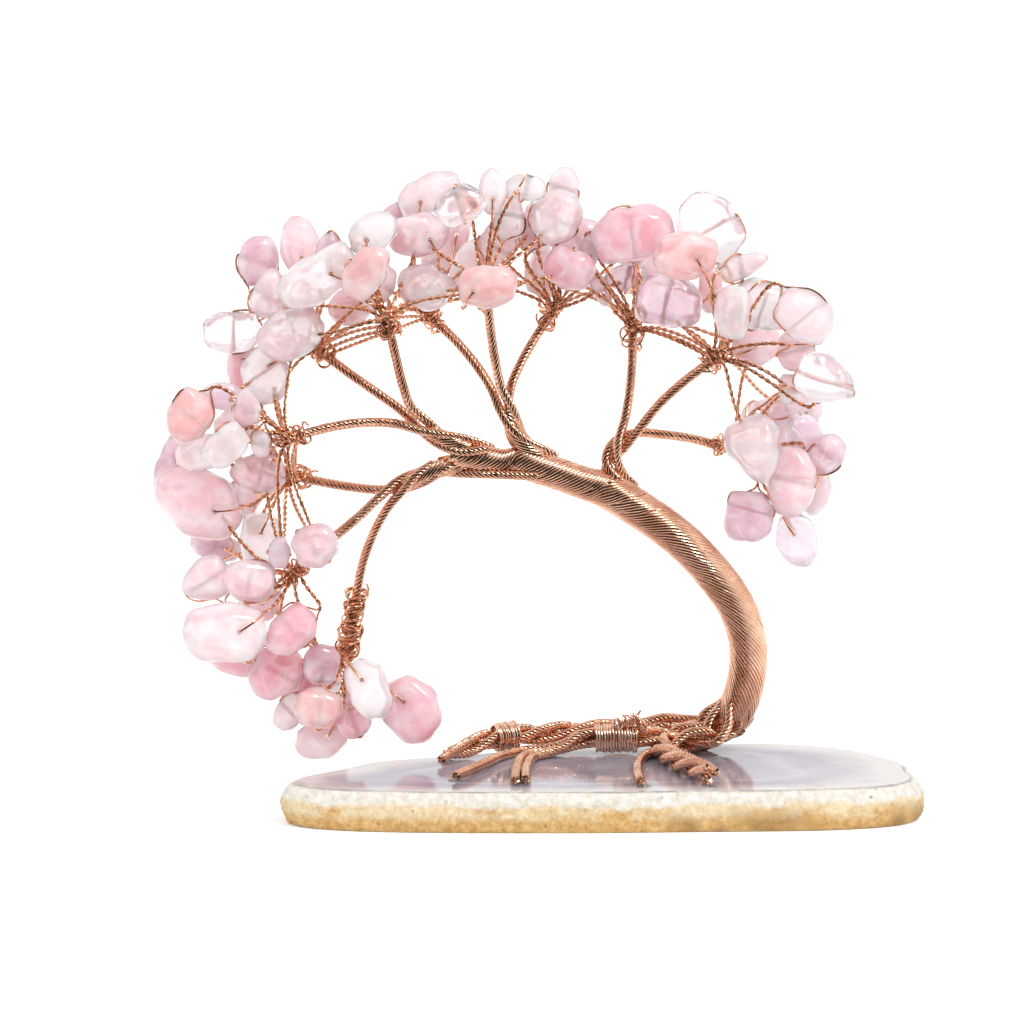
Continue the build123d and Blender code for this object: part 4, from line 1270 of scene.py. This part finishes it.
def rind_colour(n, where, split, spots, blotch):
    """The rough rim: ochre at the foot, then cream, then a band of crystal, with brown patches."""
    grit = n.spread(spots, 0.36, 0.62)
    wide = n.noise(where, 45.0, Detail=3.0)
    level = n.plus(n.times(split[2], PER_METRE), n.spread(blotch, 0.3, 0.7, -1.1, 1.1))
    crystal, ochre, cream = (n.mix(grit, rgba(dark), rgba(pale)) for dark, pale in (CRYSTAL, OCHRE, CREAM))
    yellow = n.mix(n.spread(blotch, 0.47, 0.6), cream, ochre)
    rind = n.mix(n.spread(level, 1.6, 3.0), ochre, yellow)
    rind = n.mix(n.spread(level, 4.4, 5.3), rind, crystal)
    stained = n.spread(wide, 0.54, 0.62)
    for x, half in BROWN_PIXELS:
        away = n.maths("ABSOLUTE", n.maths("SUBTRACT", split[0], (x - MIDDLE_PIXELS) * PIXEL))
        near = n.spread(away, half * PIXEL * 1.3, half * PIXEL * 0.5)
        stained = n.maths("MAXIMUM", stained, n.times(near, n.spread(blotch, 0.4, 0.56)))
    brown = n.times(n.times(stained, n.spread(spots, 0.4, 0.52)), n.spread(level, 4.6, 2.0, 0.0, 0.75))
    rind = n.mix(brown, rind, rgba(RIND_BROWN))
    cells = {"Vector": where, "Scale": 330.0}
    specks = n.add("ShaderNodeTexVoronoi", cells, feature="F1").outputs["Distance"]
    speck = n.times(n.spread(specks, 0.16, 0.06), n.spread(spots, 0.45, 0.5, 0.0, 0.7))
    return n.mix(speck, rind, rgba(RIND_SPECK))


def agate(name):
    """Translucent grey lavender face with a thin dark seam, and a rough ochre rind round the rim."""
    material, n, shader = new_material(name)
    where = n.place()
    split = n.add("ShaderNodeSeparateXYZ", {0: where}).outputs
    out = n.add("ShaderNodeAttribute", attribute_name="way_out").outputs["Fac"]
    spots = n.noise(where, 700.0, Detail=6.0, Roughness=0.75)
    blotch = n.noise(where, 150.0, Detail=5.0, Roughness=0.6)
    top = n.spread(split[2], SLAB_TOP - 0.2 * MM, SLAB_TOP - 0.02 * MM)
    colour = n.mix(top, rind_colour(n, where, split, spots, blotch), face_colour(n, where, out))
    seam = n.times(n.spread(out, 0.945, 0.955), n.spread(out, 0.966, 0.958))
    seam = n.times(seam, n.spread(blotch, 0.4, 0.6, 0.1, 0.6))
    wear = place_group(n, WEAR, Size=6.0, Amount=0.5, Fine=1.0)
    polished = n.plus(n.times(wear["Blotch"], 0.08), 0.07)
    grain = n.times(spots, n.maths("SUBTRACT", 1.0, top))
    n.dress(
        shader,
        Base_Color=n.mix(seam, colour, rgba(SEAM)),
        Roughness=n.blend(top, 0.62, polished),
        Normal=bump(n, grain, 0.9 * MM, 0.9),
        Subsurface_Weight=0.3,
        Subsurface_Radius=(1.0, 0.85, 0.7),
        Subsurface_Scale=2 * MM,
    )
    return material


make_piece("agate_slice", build_slab(), agate("agate_and_rind"), "agate", "tree", "agate_slab")


# Glue under the wire ends

def clear_glue(name):
    """Set glue, clear and a little yellowed."""
    material, n, shader = new_material(name)
    wear = place_group(n, WEAR, Size=1.2, Amount=0.3, Fine=1.0)
    n.dress(
        shader,
        Base_Color=n.mix(wear["Blotch"], rgba(GLUE_CLEAR), rgba(GLUE_YELLOWED)),
        Roughness=n.spread(wear["Grain"], 0.3, 0.7, 0.03, 0.12),
        Normal=bump(n, wear["Height"], 0.2 * MM, 0.3),
        Transmission_Weight=0.9,
        IOR=1.45,
    )
    return material


def build_glue():
    """Each dab a low wavy-edged drop."""
    points, faces = [], []
    for number, (dab, _) in enumerate(islands(*merged("glue_dabs"))):
        low, high = dab.min(0), dab.max(0)
        middle = (low + high) / 2
        half = (high - low) / 2
        start = len(points)
        for share in GLUE_RINGS:
            lift = math.sqrt(max(0.0, 1 - share**2)) * (high[2] - low[2])
            for i in range(GLUE_CORNERS):
                angle = 2 * math.pi * i / GLUE_CORNERS
                across, along = math.cos(angle), math.sin(angle)
                wave = 1 + 0.09 * noise.noise(Vector((across * 1.4 + number * 3.1, along * 1.4, 0)))
                x = middle[0] + half[0] * share * wave * across * 0.97
                y = middle[1] + half[1] * share * wave * along * 0.97
                points.append((x, y, low[2] + lift))
        points.append((middle[0], middle[1], high[2]))
        top = len(points) - 1
        faces += band_faces(start, GLUE_CORNERS, len(GLUE_RINGS) - 1)
        inner = top - GLUE_CORNERS
        faces += [[inner + i, inner + (i + 1) % GLUE_CORNERS, top] for i in range(GLUE_CORNERS)]
        faces.append([start + i for i in range(GLUE_CORNERS)][::-1])
    return build_mesh("set_glue", points, faces)


make_piece("set_glue", build_glue(), clear_glue("clear_glue"), "glue", "tree", "glue_dabs")


# Floor, light and camera

def build_floor():
    far = FLOOR_REACH
    corners = [(-far, -far, 0), (far, -far, 0), (far, far, 0), (-far, far, 0)]
    mesh = build_mesh("floor", corners, [[0, 1, 2, 3]])
    floor = put_in_scene("floor", mesh)
    material, n, shader = new_material("white_floor")
    path = n.add("ShaderNodeLightPath").outputs
    shown = n.maths("MAXIMUM", path["Is Glossy Ray"], path["Is Transmission Ray"])
    shown = n.maths("MAXIMUM", path["Is Camera Ray"], shown)
    n.dress(
        shader,
        Base_Color=(0.8, 0.8, 0.8, 1),
        Roughness=0.9,
        Emission_Color=(1, 1, 1, 1),
        Emission_Strength=n.times(shown, 0.3),
    )
    mesh.materials.append(material)


def stand_card():
    """A dark card in front of the object, seen only in the shine of its metal and stones."""
    mesh = build_mesh("dark_card", CARD_CORNERS, [[0, 1, 2, 3], [3, 2, 4, 5]])
    card = put_in_scene("dark_card", mesh)
    material, n, shader = new_material("dark_cloth")
    weave = n.noise(n.place(), 300.0)
    n.dress(shader, Base_Color=n.mix(weave, (0.02, 0.02, 0.02, 1), (0.04, 0.035, 0.035, 1)), Roughness=1.0)
    mesh.materials.append(material)
    card.visible_camera = card.visible_diffuse = card.visible_shadow = card.visible_transmission = False


def add_lamp(name, way, spread, strength, glossy):
    """A large soft studio lamp far off in one direction."""
    lamp = bpy.data.lights.new(name, "SUN")
    lamp.angle, lamp.energy = math.radians(spread), strength
    thing = put_in_scene(name, lamp)
    thing.rotation_euler = Vector(way).to_track_quat("Z", "Y").to_euler()
    thing.visible_glossy = glossy


def light_room():
    """A white room, dimmer on the side of the camera, which only the surfaces feel."""
    world = bpy.data.worlds.new("studio")
    bpy.context.scene.world = world
    world.use_nodes = True
    n = Nodes(world.node_tree)
    way = n.add("ShaderNodeTexCoord").outputs["Generated"]
    toward = n.add("ShaderNodeVectorMath", {0: way, 1: DIM_SIDE}, operation="DOT_PRODUCT").outputs["Value"]
    room = n.spread(toward, 0.4, 0.85, 1.0, 0.1)
    path = n.add("ShaderNodeLightPath").outputs
    shown = n.maths("MAXIMUM", path["Is Camera Ray"], path["Is Transmission Ray"])
    background = world.node_tree.nodes["Background"]
    n.dress(background, Color=(1, 1, 1, 1), Strength=n.blend(shown, room, 1.0))


def set_camera():
    """A far camera that frames the object as the picture does."""
    camera = bpy.data.cameras.new("camera")
    camera.lens = CAMERA_LENS
    thing = put_in_scene("camera", camera)
    aim = Vector(spot_at(PICTURE_PIXELS / 2, PICTURE_PIXELS / 2, 0))
    distance = PICTURE_PIXELS * PIXEL * CAMERA_LENS / camera.sensor_width
    back = Vector((0, -math.cos(CAMERA_RISE), math.sin(CAMERA_RISE)))
    thing.location = aim + back * distance
    thing.rotation_euler = (-back).to_track_quat("-Z", "Y").to_euler()
    camera.clip_start, camera.clip_end = 0.1, 60.0
    bpy.context.scene.camera = thing


build_floor()
stand_card()
light_room()
for lamp in LAMPS:
    add_lamp(*lamp)
set_camera()
bpy.context.scene.view_settings.view_transform = "Standard"
